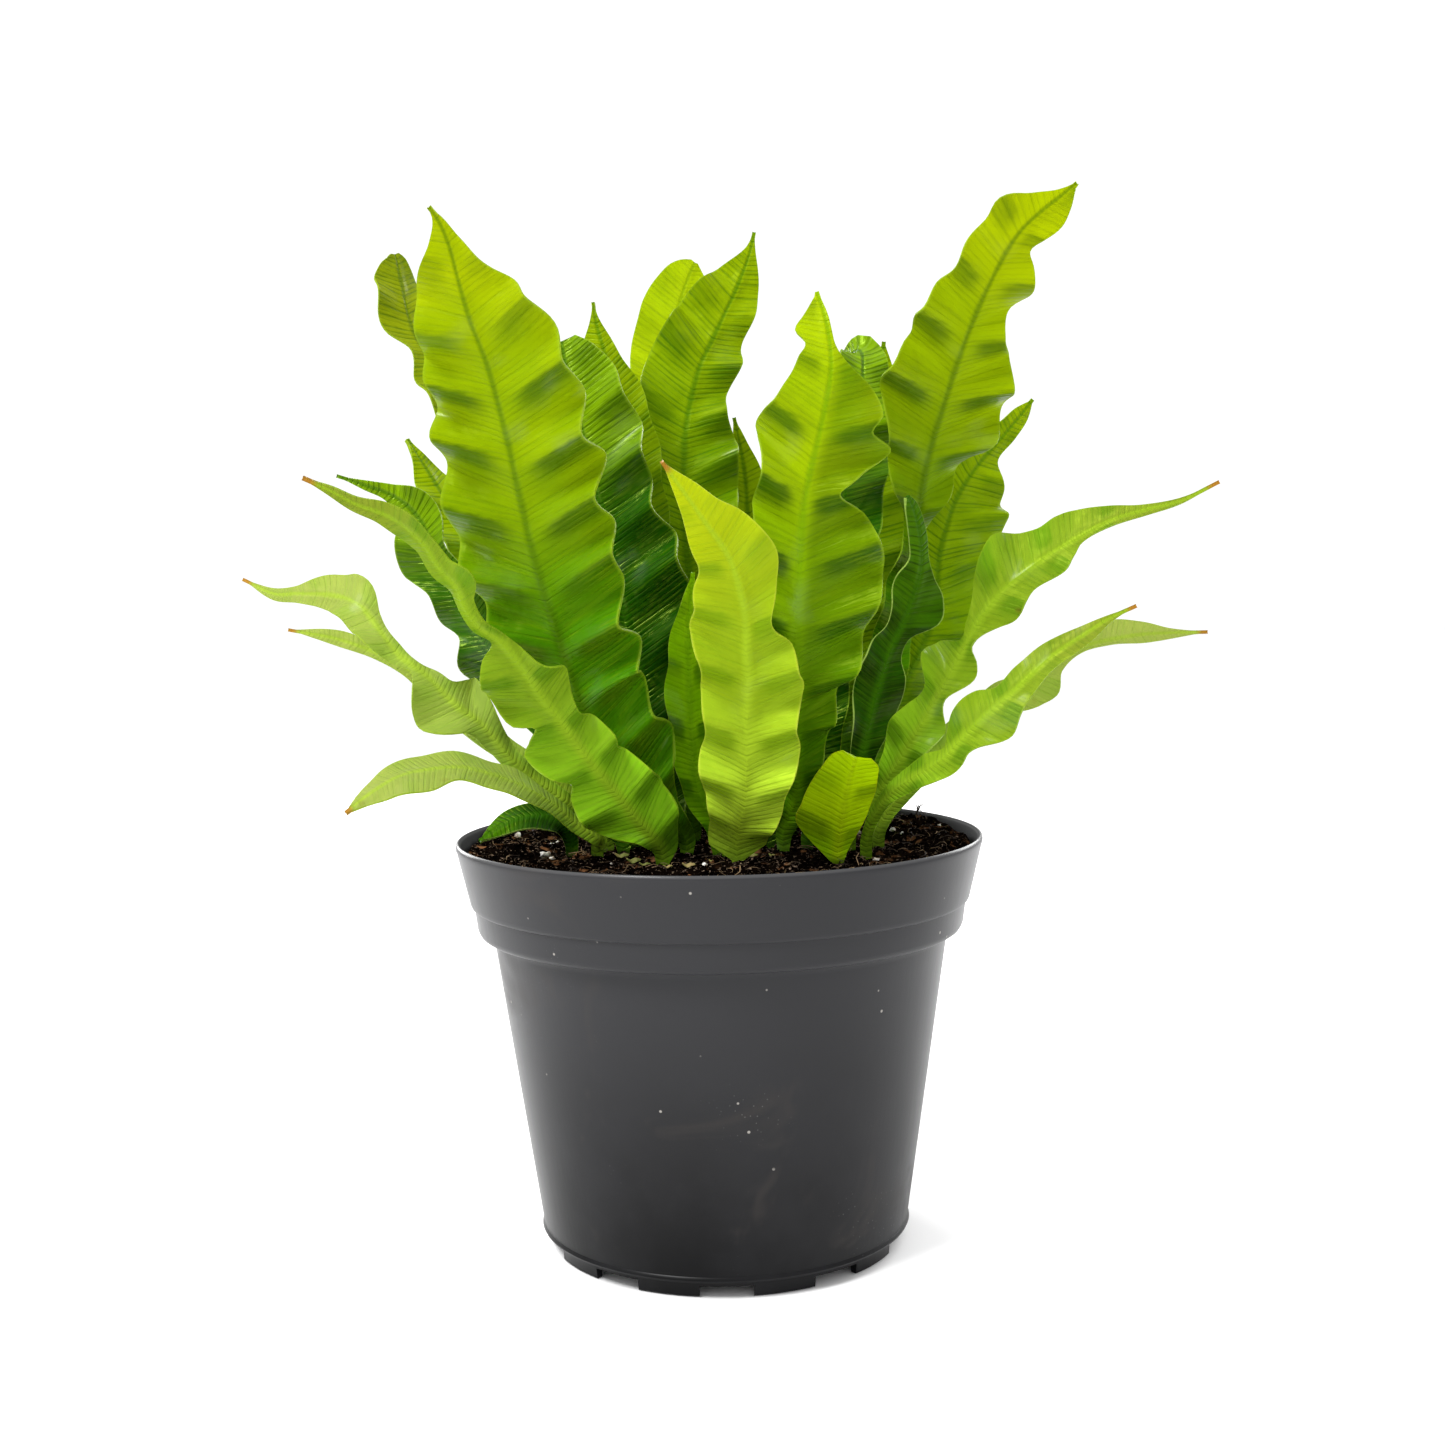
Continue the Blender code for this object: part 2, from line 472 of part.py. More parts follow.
def foot_gap(index):
    """Adds the box that opens one gap between two feet. The first gap faces the front."""
    def add(shape):
        made = bmesh.ops.create_cube(shape, size=1.0)
        depth = 3 * FOOT_WALL
        middle = FOOT_RADIUS - FOOT_WALL / 2
        angle = 2 * math.pi * index / FEET - math.pi / 2
        for vertex in made["verts"]:
            along = middle + vertex.co.x * depth
            across = vertex.co.y * FOOT_GAP_WIDTH
            up = (vertex.co.z + 0.5) * 2 * FOOT_GAP_HEIGHT - FOOT_GAP_HEIGHT
            x = along * math.cos(angle) - across * math.sin(angle)
            y = along * math.sin(angle) + across * math.cos(angle)
            vertex.co = (x, y, up)
    return add


def upright_prism(x, y, radius, sides, low, high):
    """Adds one upright prism."""
    def add(shape):
        made = bmesh.ops.create_cone(
            shape, cap_ends=True, segments=sides, radius1=radius, radius2=radius, depth=high - low)
        bmesh.ops.translate(shape, verts=made["verts"], vec=(x, y, (high + low) / 2))
    return add


def make_pot(parts, cutters):
    """The moulded pot with its rim band, ridge, feet and drainage holes."""
    plastic = new_material("charcoal_plastic", (0.045, 0.045, 0.05), 0.42)
    pot = turned("pot", inner_profile() + outer_profile(), POT_STEPS, parts, plastic)
    gaps = joined_cutter("foot_gaps", [foot_gap(i) for i in range(FEET)], cutters)
    cut(pot, gaps, "Foot gaps")
    drains = []
    for i in range(DRAIN_HOLES):
        angle = 2 * math.pi * (i + 0.5) / DRAIN_HOLES
        x = DRAIN_RING_RADIUS * math.cos(angle)
        y = DRAIN_RING_RADIUS * math.sin(angle)
        drains.append(upright_prism(x, y, DRAIN_RADIUS, 8, 2 * MM, 7 * MM))
    cut(pot, joined_cutter("drain_holes", drains, cutters), "Drain holes")
    return pot


def soil_height(x, y):
    """Height of the soil's uneven, slightly mounded top."""
    mound = MOUND_HEIGHT * math.exp(-(x * x + y * y) / MOUND_RADIUS ** 2)
    u = x / (9 * MM)
    v = y / (9 * MM)
    bumps = math.sin(1.9 * u + 0.4) * math.cos(1.3 * v) + math.sin(0.8 * u - 1.7 * v + 1.1)
    return SOIL_EDGE_HEIGHT + mound + SOIL_ROUGHNESS * bumps


def make_soil(parts, cutters, bases):
    """The peat that fills the pot, with one plain hole for each stalk."""
    peat = new_material("peat_soil", (0.022, 0.014, 0.010), 0.95)
    gap = CLEARANCE
    wall = [(r - gap, z) for r, z in inner_profile()[2:6]]
    top_share = (SOIL_EDGE_HEIGHT - STEP_HEIGHT) / (POT_HEIGHT - STEP_HEIGHT)
    top_radius = STEP_RADIUS - WALL - gap - 0.9 * MM + top_share * (RIM_RADIUS - STEP_RADIUS)
    rings = (0.86, 0.70, 0.54, 0.38, 0.2, 0.0)
    top = [(top_radius * share, SOIL_EDGE_HEIGHT) for share in (1.0,) + rings]
    foot = [(FOOT_RADIUS - 2.2 * MM, FLOOR_TOP + gap), (0.0, FLOOR_TOP + gap)]
    profile = top[::-1] + wall[::-1] + foot
    plain = turned("soil_blank", profile, SOIL_STEPS, cutters)
    mesh = evaluated_mesh(plain)
    bpy.data.objects.remove(plain, do_unlink=True)
    mesh.name = "soil"
    for vertex in mesh.vertices:
        if vertex.co.z > SOIL_EDGE_HEIGHT - 0.1 * MM:
            vertex.co.z = soil_height(vertex.co.x, vertex.co.y)
    shape = bmesh.new()
    shape.from_mesh(mesh)
    bmesh.ops.triangulate(shape, faces=shape.faces[:])
    shape.to_mesh(mesh)
    shape.free()
    soil = new_object("soil", mesh, parts, peat)
    holes = []
    for x, y in bases:
        low = soil_height(x, y) - HOLE_DEPTH
        holes.append(upright_prism(x, y, HOLE_RADIUS, HOLE_SIDES, low, SOIL_EDGE_HEIGHT + 20 * MM))
    cut(soil, joined_cutter("stalk_holes", holes, cutters), "Stalk holes")
    return soil


def on_sight_line(pixel_x, pixel_y, depth):
    """The point at depth Y that is seen at a pixel of the picture."""
    across = pixel_x - PICTURE_CENTRE
    up = PICTURE_CENTRE - pixel_y
    level_across = across * math.cos(EYE_ROLL) + up * math.sin(EYE_ROLL)
    level_up = up * math.cos(EYE_ROLL) - across * math.sin(EYE_ROLL)
    right = np.array([1.0, 0.0, 0.0])
    ahead = np.array([0.0, math.cos(EYE_PITCH), -math.sin(EYE_PITCH)])
    above = np.array([0.0, math.sin(EYE_PITCH), math.cos(EYE_PITCH)])
    way = ahead + right * level_across / FOCAL_PIXELS + above * level_up / FOCAL_PIXELS
    return EYE + way * (depth - EYE[1]) / way[1]


def smooth_curve(points):
    """Close points along a smooth curve that goes through the given ones."""
    knots = np.array(points, dtype=float)
    steps = np.linalg.norm(np.diff(knots, axis=0), axis=1)
    slopes = np.diff(knots, axis=0) / steps[:, None]
    bends = np.empty_like(knots)
    bends[0] = slopes[0]
    bends[-1] = slopes[-1]
    weight = steps[1:, None] / (steps[1:, None] + steps[:-1, None])
    bends[1:-1] = weight * slopes[:-1] + (1 - weight) * slopes[1:]
    curve = []
    for i, step in enumerate(steps):
        for t in np.arange(CURVE_STEPS) / CURVE_STEPS:
            a = (1 + 2 * t) * (1 - t) ** 2
            b = t * (1 - t) ** 2
            c = t * t * (3 - 2 * t)
            d = t * t * (t - 1)
            place = a * knots[i] + c * knots[i + 1]
            curve.append(place + step * (b * bends[i] + d * bends[i + 1]))
    curve.append(knots[-1])
    return np.array(curve)


def value_along(values, share, places=None):
    """A smooth value at a share from 0 to 1, between ones given at places or at even steps."""
    if places is None:
        places = np.linspace(0.0, 1.0, len(values))
    last = len(values) - 1
    i = min(max(int(np.searchsorted(places, share)) - 1, 0), last - 1)
    step = places[i + 1] - places[i]
    t = min(max((share - places[i]) / step, 0.0), 1.0)
    before = max(i - 1, 0)
    after = min(i + 2, last)
    slope = (values[i + 1] - values[before]) / (places[i + 1] - places[before])
    next_slope = (values[after] - values[i]) / (places[after] - places[i])
    a = (1 + 2 * t) * (1 - t) ** 2 * values[i]
    b = t * (1 - t) ** 2 * slope * step
    c = t * t * (3 - 2 * t) * values[i + 1]
    d = t * t * (t - 1) * next_slope * step
    return a + b + c + d


def rib_points(plan):
    """The rib's guide points above the soil, and the way that the blade's back faces."""
    x, y = np.array(plan["base"]) * MM
    ground = soil_height(x, y)
    start = [(x, y, ground), (x, y, ground + STALK_STRAIGHT)]
    if "rib" in plan:
        seen = [on_sight_line(px, py, depth * MM) for px, py, depth, *_ in plan["rib"]]
        return np.array(start + seen), None
    angle = math.radians(plan["angle"])
    outward = np.array([math.cos(angle), math.sin(angle), 0.0])
    point = np.array(start[-1])
    points = list(start)
    steps = 6
    for i in range(steps):
        share = (i + 0.5) / steps
        lean = math.radians(plan["lean_from"] + share * (plan["lean_to"] - plan["lean_from"]))
        rise = np.array([0.0, 0.0, math.cos(lean)])
        point = point + (outward * math.sin(lean) + rise) * plan["length"] * MM / steps
        points.append(tuple(point))
    return np.array(points), -outward


def ripple_phase(length):
    """How many ripples lie between the soil and a place along the rib."""
    short = 1 / RIPPLE_AT_BASE
    full = 1 / RIPPLE_AT_MIDDLE
    reach = RIPPLE_SETTLES
    if length < reach:
        return length * short + (full - short) * length * length / (2 * reach)
    return reach * (short + full) / 2 + (length - reach) * full


def stations(total, per_ripple):
    """Places along the rib for the rows of the blade, a few to each ripple."""
    count = max(6, round(ripple_phase(total) * per_ripple))
    lengths = np.linspace(0.0, total, 400)
    phases = np.array([ripple_phase(length) for length in lengths])
    return np.interp(np.linspace(0.0, phases[-1], count + 1), phases, lengths)


def width_rule(plan, side, knots):
    """Half widths of the blade's left (0) or right (1) side, and the shares where they hold."""
    if "rib" in plan and len(plan["rib"][0]) > 3:
        widths = [STALK_HALF_WIDTH / MM] + [point[3 + side] for point in plan["rib"]]
        return widths, np.concatenate([[0.0], knots[2:]])
    if "left" in plan:
        return plan[("left", "right")[side]], None
    return [share * plan["width"] for share in plan.get("shape", PLAIN_SHAPE)], None


def half_width(rule, share):
    """Half width of the blade at a share of its length."""
    widths, places = rule
    return max(value_along(widths, share, places) * MM, TIP_HALF_WIDTH)


def blade_rows(plan, per_ripple):
    """Rows of (left margin, rib, right margin) points with their thicknesses."""
    points, back = rib_points(plan)
    curve = smooth_curve(points)
    run = np.concatenate([[0.0], np.cumsum(np.linalg.norm(np.diff(curve, axis=0), axis=1))])
    total = run[-1]
    knots = run[::CURVE_STEPS] / total
    rules = [width_rule(plan, side, knots) for side in (0, 1)]
    ground = points[0]
    down = np.array([0.0, 0.0, -1.0])
    sideways = np.array([1.0, 0.0, 0.0])
    rows = []
    for depth in (HOLE_DEPTH - CLEARANCE, 0.0):
        middle = ground + down * depth
        arm = sideways * STALK_HALF_WIDTH
        thickness = (STALK_EDGE_SHARE * STALK_THICKNESS, STALK_THICKNESS)
        rows.append(((middle - arm, middle, middle + arm), thickness))
    lengths = stations(total, per_ripple)
    for length in lengths[lengths > STALK_STRAIGHT * STALK_EDGE_SHARE]:
        share = length / total
        rib = np.array([np.interp(length, run, curve[:, k]) for k in range(3)])
        ahead = np.array([np.interp(length + 0.5 * MM, run, curve[:, k]) for k in range(3)])
        behind = np.array([np.interp(length - 0.5 * MM, run, curve[:, k]) for k in range(3)])
        along = (ahead - behind) / np.linalg.norm(ahead - behind)
        away = (rib - EYE) if back is None else back
        away = away - along * np.dot(away, along)
        away = away / np.linalg.norm(away)
        side = np.cross(away, along)
        turn = math.radians(value_along(plan.get("turn", (0, 0)), share))
        across = side * math.cos(turn) + away * math.sin(turn)
        normal = np.cross(along, across)
        ripple = plan["ripple"]
        if isinstance(ripple, tuple):
            ripple = value_along(ripple, share)
        margins = []
        for sign, rule, lead in ((-1, rules[0], 0.0), (1, rules[1], RIGHT_MARGIN_LEAD)):
            width = half_width(rule, share)
            wide = min(width / FULL_WIDTH, 1.0)
            phase = 2 * math.pi * ripple_phase(length - width * RIPPLE_LAG) + lead
            lift = ripple * MM * wide * math.sin(phase)
            scallop = plan.get("scallop", PLAIN_SCALLOP) * math.sin(phase + SCALLOP_LEAD)
            margin = rib + across * sign * width * (1 + scallop)
            margins.append(margin + along * width * math.tan(RIPPLE_RISE) + normal * lift)
        stalk = max(0.0, 1 - share / STALK_FADE)
        stalk_edge = max(0.0, 1 - share / STALK_EDGE_FADE) * STALK_EDGE_SHARE
        thick = RIB_THICKNESS + (STALK_THICKNESS - RIB_THICKNESS) * stalk - TIP_THINNING * share
        thin = BLADE_THICKNESS + (STALK_THICKNESS - BLADE_THICKNESS) * stalk_edge
        rows.append(((margins[0], rib, margins[1]), (thin, thick)))
    return rows


def make_frond(name, plan, per_ripple, parts, material):
    """One frond: a rippled open surface given its thickness, thicker along the rib."""
    rows = blade_rows(plan, per_ripple)
    mesh = bpy.data.meshes.new(name)
    shape = bmesh.new()
    bmesh.ops.create_grid(shape, x_segments=2, y_segments=len(rows) - 1, size=1.0)
    order = sorted(shape.verts, key=lambda v: (round(v.co.y, 5), round(v.co.x, 5)))
    weights = {}
    for i, (places, (thin, thick)) in enumerate(rows):
        for k in range(3):
            vertex = order[3 * i + k]
            vertex.co = places[k]
            weights[vertex.index] = (thick if k == 1 else thin) / STALK_THICKNESS
    bmesh.ops.triangulate(shape, faces=shape.faces[:], quad_method="SHORT_EDGE")
    shape.to_mesh(mesh)
    shape.free()
    frond = new_object(name, mesh, parts, material)
    group = frond.vertex_groups.new(name="thickness")
    for index, weight in weights.items():
        group.add([index], min(weight, 1.0), "REPLACE")
    solid = frond.modifiers.new("Thickness", "SOLIDIFY")
    solid.thickness = STALK_THICKNESS
    solid.offset = 0.0
    solid.vertex_group = "thickness"
    solid.thickness_vertex_group = 0.0
    mesh.shade_smooth()
    return frond


def leaf_tone(name):
    """Name of the tone that a frond has."""
    if name in BRIGHT_FRONDS:
        return "frond_bright"
    if name in DARK_FRONDS:
        return "frond_dark"
    return "frond_green"


def main():
    """Builds the pot, the soil and every frond."""
    clear_scene()
    parts = new_collection("potted_crispy_wave_fern")
    cutters = new_collection("cutters")
    make_pot(parts, cutters)
    plans = {**FRONDS, **BACK_FRONDS}
    bases = [(plan["base"][0] * MM, plan["base"][1] * MM) for plan in plans.values()]
    make_soil(parts, cutters, bases)
    leaves = {tone: new_material(tone, LEAF_TONES[tone], LEAF_ROUGHNESS) for tone in LEAF_TONES}
    for name, plan in plans.items():
        leaf = leaves[leaf_tone(name)]
        per_ripple = ROWS_PER_RIPPLE if name in FRONDS else ROWS_PER_RIPPLE_BEHIND
        make_frond(name, plan, per_ripple, parts, leaf)


main()
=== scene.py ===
# %% [markdown]
# # A crispy wave fern in its grower pot
# A crispy wave fern has long strap leaves, called fronds, that ripple from the rib out to both
# margins. This one grows in a thin black plastic pot full of peat. The simple solid model of
# the plant is loaded first. Each step below then makes a finer piece that takes the place of
# one solid, with the same form, and gives it the finish of the real thing.

# %% Load the solid model
import math

import bpy
import numpy as np
from mathutils import Matrix, Vector, noise


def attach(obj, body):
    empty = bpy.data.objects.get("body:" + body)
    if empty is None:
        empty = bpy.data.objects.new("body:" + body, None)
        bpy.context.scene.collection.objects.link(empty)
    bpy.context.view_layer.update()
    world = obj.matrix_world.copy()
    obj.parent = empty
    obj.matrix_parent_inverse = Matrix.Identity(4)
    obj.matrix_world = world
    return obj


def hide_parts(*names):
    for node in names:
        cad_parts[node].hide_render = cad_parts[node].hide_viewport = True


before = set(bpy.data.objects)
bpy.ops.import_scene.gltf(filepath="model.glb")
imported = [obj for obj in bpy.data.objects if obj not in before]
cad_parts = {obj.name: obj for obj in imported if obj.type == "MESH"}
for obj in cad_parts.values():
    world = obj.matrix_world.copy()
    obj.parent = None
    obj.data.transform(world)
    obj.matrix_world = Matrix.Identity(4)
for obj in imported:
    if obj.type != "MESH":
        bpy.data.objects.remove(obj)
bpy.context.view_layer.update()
MM = 0.001
print("solids:", len(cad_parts))

# %% [markdown]
# ## Camera
# The plant is seen from a little over half a metre, slightly from above, with a normal lens.
# The fronds are placed from this same eye, so its numbers come first. The camera object is a
# plain one: it is turned from looking down to looking level, then tipped and rolled a little.

# %% Camera
PICTURE_WIDTH = 1445.0
PICTURE_CENTRE = PICTURE_WIDTH / 2
FOCAL_PIXELS = 1790.0
SENSOR = 36.0
NEAREST_SEEN = 0.01
EYE = np.array([1.6, -517.0, 191.0]) * MM
EYE_PITCH = math.radians(4.5)
EYE_ROLL = math.radians(1.05)

camera = bpy.data.objects.new("camera", bpy.data.cameras.new("camera"))
bpy.context.scene.collection.objects.link(camera)
camera.data.sensor_width = SENSOR
camera.data.lens = SENSOR * FOCAL_PIXELS / PICTURE_WIDTH
camera.data.clip_start = NEAREST_SEEN
level = Matrix.Rotation(math.pi / 2 - EYE_PITCH, 4, "X")
camera.matrix_world = Matrix.Translation(EYE) @ level @ Matrix.Rotation(-EYE_ROLL, 4, "Z")
bpy.context.scene.camera = camera
print("lens:", round(camera.data.lens, 1), "mm")

# %% [markdown]
# ## Floor and light
# Plant pictures for a shop are taken in a white tent: white all round, with two soft lamps
# behind the leaves so that they glow, and one in front. The floor is a wide plain disc. The
# world is plain white, which also gives the black pot the bright edges that it has in a tent.

# %% Floor and light
FLOOR_RADIUS = 6.0
FLOOR_SIDES = 96
FLOOR_DROP = 0.0002
WORLD_STRENGTH = 1.08


def clear_selection():
    """Nothing is selected, so that the next operator acts only on what it makes."""
    if bpy.context.object and bpy.context.object.mode != "OBJECT":
        bpy.ops.object.mode_set(mode="OBJECT")
    bpy.ops.object.select_all(action="DESELECT")


def settle():
    """Moves the object's place, turn and size into its mesh, and hands the object on."""
    bpy.ops.object.transform_apply(location=True, rotation=True, scale=True)
    return bpy.context.object


clear_selection()
bpy.ops.mesh.primitive_circle_add(
    vertices=FLOOR_SIDES, radius=FLOOR_RADIUS, fill_type="NGON", location=(0, 0, -FLOOR_DROP))
floor = settle()
floor.name = "floor"

world = bpy.data.worlds.new("white_tent")
bpy.context.scene.world = world
world.use_nodes = True
tent = world.node_tree.nodes["Background"]
tent.inputs["Color"].default_value = (1.0, 1.0, 1.0, 1.0)
tent.inputs["Strength"].default_value = WORLD_STRENGTH


def add_softbox(name, place, target, size, power):
    """One square lamp that points at a target."""
    lamp = bpy.data.objects.new(name, bpy.data.lights.new(name, "AREA"))
    bpy.context.scene.collection.objects.link(lamp)
    lamp.data.size = size
    lamp.data.energy = power
    lamp.location = place
    lamp.rotation_euler = (Vector(target) - Vector(place)).to_track_quat("-Z", "Y").to_euler()


add_softbox("key", (-0.5, -0.5, 0.95), (0, 0, 0.18), 0.35, 13.0)
add_softbox("behind_left", (-0.6, 0.9, 0.5), (0, 0, 0.2), 0.6, 9.0)
add_softbox("behind_right", (0.7, 0.8, 0.6), (0, 0, 0.2), 0.6, 9.0)
bpy.context.scene.view_settings.view_transform = "Standard"

# %% [markdown]
# ## Sums in a material
# A material's pattern is arithmetic on places and noises. Written as nodes by hand that is long
# and hard to read, so one small class lets a node's output be added, multiplied and divided like
# a plain number. A second one holds a material's page of nodes and adds any other node.


# %% Sums in a material
class Amount:
    """A number that changes over a surface."""

    def __init__(self, page, socket):
        self.page = page
        self.socket = socket

    def sum(self, operation, *values):
        """The Math node of that operation on these values."""
        return self.page.amount("Math", {"operation": operation}, dict(enumerate(values)))

    def __add__(self, other):
        return self.sum("ADD", self, other)

    def __radd__(self, other):
        return self.sum("ADD", other, self)

    def __sub__(self, other):
        return self.sum("SUBTRACT", self, other)

    def __rsub__(self, other):
        return self.sum("SUBTRACT", other, self)

    def __mul__(self, other):
        return self.sum("MULTIPLY", self, other)

    def __rmul__(self, other):
        return self.sum("MULTIPLY", other, self)

    def __truediv__(self, other):
        return self.sum("DIVIDE", self, other)

    def __rtruediv__(self, other):
        return self.sum("DIVIDE", other, self)

    def __abs__(self):
        return self.sum("ABSOLUTE", self)

    def sine(self):
        return self.sum("SINE", self)

    def rise(self, low, high, to_low=0.0, to_high=1.0):
        """A smooth step from to_low to to_high while this number goes from low to high."""
        sockets = {"Value": self, "From Min": low, "From Max": high,
                   "To Min": to_low, "To Max": to_high}
        return self.page.amount("MapRange", {"interpolation_type": "SMOOTHSTEP"}, sockets)


print("made Amount: a node's output that sums like a number")


# %% A material's nodes
class Page:
    """A new material's page of nodes."""

    def __init__(self, name):
        self.material = bpy.data.materials.new(name)
        self.material.use_nodes = True
        self.tree = self.material.node_tree
        self.shader = self.tree.nodes["Principled BSDF"]

    def feed(self, socket, value):
        """Gives a socket a plain value or a link."""
        if isinstance(value, Amount):
            value = value.socket
        if isinstance(value, bpy.types.NodeSocket):
            self.tree.links.new(value, socket)
        elif isinstance(value, tuple) and len(value) == 3 and socket.type == "RGBA":
            socket.default_value = (*value, 1.0)
        else:
            socket.default_value = value

    def add(self, kind, settings=None, sockets=None):
        """Any node: its settings first, then the values or links of its sockets."""
        node = self.tree.nodes.new("ShaderNode" + kind)
        for name, value in (settings or {}).items():
            setattr(node, name, value)
        for name, value in (sockets or {}).items():
            self.feed(node.inputs[name], value)
        return node

    def amount(self, kind, settings, sockets, output=0):
        """A node's output as a number for sums."""
        return Amount(self, self.add(kind, settings, sockets).outputs[output])

    def place(self):
        """The point's place on the object."""
        return self.add("TexCoord").outputs["Object"]

    def part(self, vector, axis):
        """One of the three numbers of a place."""
        return self.amount("SeparateXYZ", {}, {"Vector": vector}, axis)

    def stretched(self, vector, scale, shift=(0.0, 0.0, 0.0)):
        """A place scaled along each axis, for a pattern that runs one way."""
        sockets = {"Vector": vector, "Scale": scale, "Location": shift}
        return self.add("Mapping", {}, sockets).outputs[0]

    def attribute(self, name):
        """A number stored at each point of the mesh."""
        return self.amount("Attribute", {"attribute_name": name}, {}, "Fac")

    def noise(self, vector, scale, detail=2.0, roughness=0.5, distortion=0.0):
        """Soft random noise from 0 to 1."""
        sockets = {"Vector": vector, "Scale": scale, "Detail": detail, "Roughness": roughness,
                   "Distortion": distortion}
        return self.amount("TexNoise", {}, sockets)

    def cells(self, vector, scale, output="Distance"):
        """Distance to the nearest of many scattered points, or the colour of its cell."""
        return self.amount("TexVoronoi", {}, {"Vector": vector, "Scale": scale}, output)

    def mix(self, share, first, second):
        """The first colour where share is 0 and the second where it is 1."""
        return self.add("Mix", {"data_type": "RGBA"}, {0: share, 6: first, 7: second}).outputs[2]

    def layered(self, colour, *layers):
        """A colour with others laid over it in turn, each by its own share."""
        for share, over in layers:
            colour = self.mix(share, colour, over)
        return colour

    def bump(self, height, distance, strength):
        """The normal of a surface with this low relief."""
        sockets = {"Height": height, "Distance": distance, "Strength": strength}
        return self.add("Bump", {}, sockets).outputs[0]

    def give(self, **sockets):
        """Values or links for the main shader, with spaces in names written as _."""
        for name, value in sockets.items():
            self.feed(self.shader.inputs[name.replace("_", " ")], value)


print("made Page: a material and its nodes")


# %% Floor finish
def dress(piece, page):
    """Gives a piece this page's finish in place of any other."""
    piece.data.materials.clear()
    piece.data.materials.append(page.material)


floor_page = Page("white_card")
floor_tone = floor_page.noise(floor_page.place(), 3.0)
floor_tone = floor_page.mix(floor_tone, (0.93, 0.93, 0.93), (0.95, 0.95, 0.95))
floor_page.give(Base_Color=floor_tone, Roughness=0.7)
dress(floor, floor_page)
print("floor finish:", floor_page.material.name)

# %% [markdown]
# ## Pot
# The pot is a thin shell of moulded plastic: a tapered body, a deep band with a step in it, a
# rounded lip, a fine ridge near the foot, and short feet. It could be a profile with a Screw
# modifier. Here it is pulled up ring by ring, as a potter would: a filled circle is the
# underside, and each ring is extruded from the last one and resized. That keeps every height
# and radius in one list that reads like a drawing of the real pot.

# %% Pot sizes
RIM_RADIUS = 76 * MM
POT_HEIGHT = 118 * MM
WALL = 1.25 * MM
STEP_HEIGHT = 100 * MM
STEP_RADIUS = 72 * MM
BAND_FOOT_HEIGHT = 91.5 * MM
BAND_FOOT_RADIUS = 70 * MM
BODY_TOP_RADIUS = 65.9 * MM
BODY_FOOT_RADIUS = 53.3 * MM
RIDGE_HEIGHT = 5.4 * MM
FOOT_RADIUS = 51.3 * MM
FOOT_WALL = 2.2 * MM
FLOOR_UNDERSIDE = 3.6 * MM
FLOOR_TOP = 5.2 * MM
FEET = 10
FOOT_GAP_WIDTH = 14.5 * MM
FOOT_GAP_HEIGHT = 3 * MM
DRAIN_HOLES = 5
DRAIN_RADIUS = 4 * MM
DRAIN_RING_RADIUS = 36 * MM
DRAIN_SIDES = 32
DRAIN_CUT = 6 * MM
POT_SIDES = 160


def body_radius(height):
    """Outer radius of the pot's tapered body."""
    share = (height - RIDGE_HEIGHT) / (BAND_FOOT_HEIGHT - RIDGE_HEIGHT)
    return BODY_FOOT_RADIUS + share * (BODY_TOP_RADIUS - BODY_FOOT_RADIUS)


print("pot width half way up:", round(2 * body_radius(POT_HEIGHT / 2) / MM, 1), "mm")


# %% Rings and cuts
def pull_rings(name, profile, sides):
    """A closed turned solid: a filled circle, extruded and resized ring by ring."""
    clear_selection()
    radius, height = profile[0]
    bpy.ops.mesh.primitive_circle_add(
        vertices=sides, radius=radius, fill_type="NGON", location=(0, 0, height))
    made = settle()
    made.name = name
    bpy.ops.object.mode_set(mode="EDIT")
    bpy.ops.mesh.select_all(action="SELECT")
    for next_radius, next_height in profile[1:]:
        bpy.ops.mesh.extrude_region_move(
            TRANSFORM_OT_translate={"value": (0, 0, next_height - height)})
        share = next_radius / radius
        bpy.ops.transform.resize(value=(share, share, 1.0), center_override=(0, 0, next_height))
        radius, height = next_radius, next_height
    bpy.ops.mesh.select_all(action="SELECT")
    bpy.ops.mesh.normals_make_consistent(inside=False)
    bpy.ops.object.mode_set(mode="OBJECT")
    return made


def pick(*pieces):
    """Only these pieces are selected, and the first one is active."""
    clear_selection()
    for piece in pieces:
        piece.select_set(True)
    bpy.context.view_layer.objects.active = pieces[0]


def cut_away(piece, cutters):
    """Takes the shape of the cutters out of the piece and deletes them."""
    pick(*cutters)
    bpy.ops.object.join()
    cutter = bpy.context.object
    pick(piece)
    boolean = piece.modifiers.new("Cut", "BOOLEAN")
    boolean.operation = "DIFFERENCE"
    boolean.object = cutter
    bpy.ops.object.modifier_apply(modifier="Cut")
    bpy.data.objects.remove(cutter, do_unlink=True)


def on_ring(radius, angle, height):
    """The point at this angle round the pot's axis."""
    return radius * math.cos(angle), radius * math.sin(angle), height


def smooth_faces(piece, degrees):
    """Rounded faces look round, and edges sharper than this stay crisp."""
    pick(piece)
    bpy.ops.object.shade_smooth_by_angle(angle=math.radians(degrees))


print("to the right on a ring of radius 1:", on_ring(1.0, 0.0, 0.0))

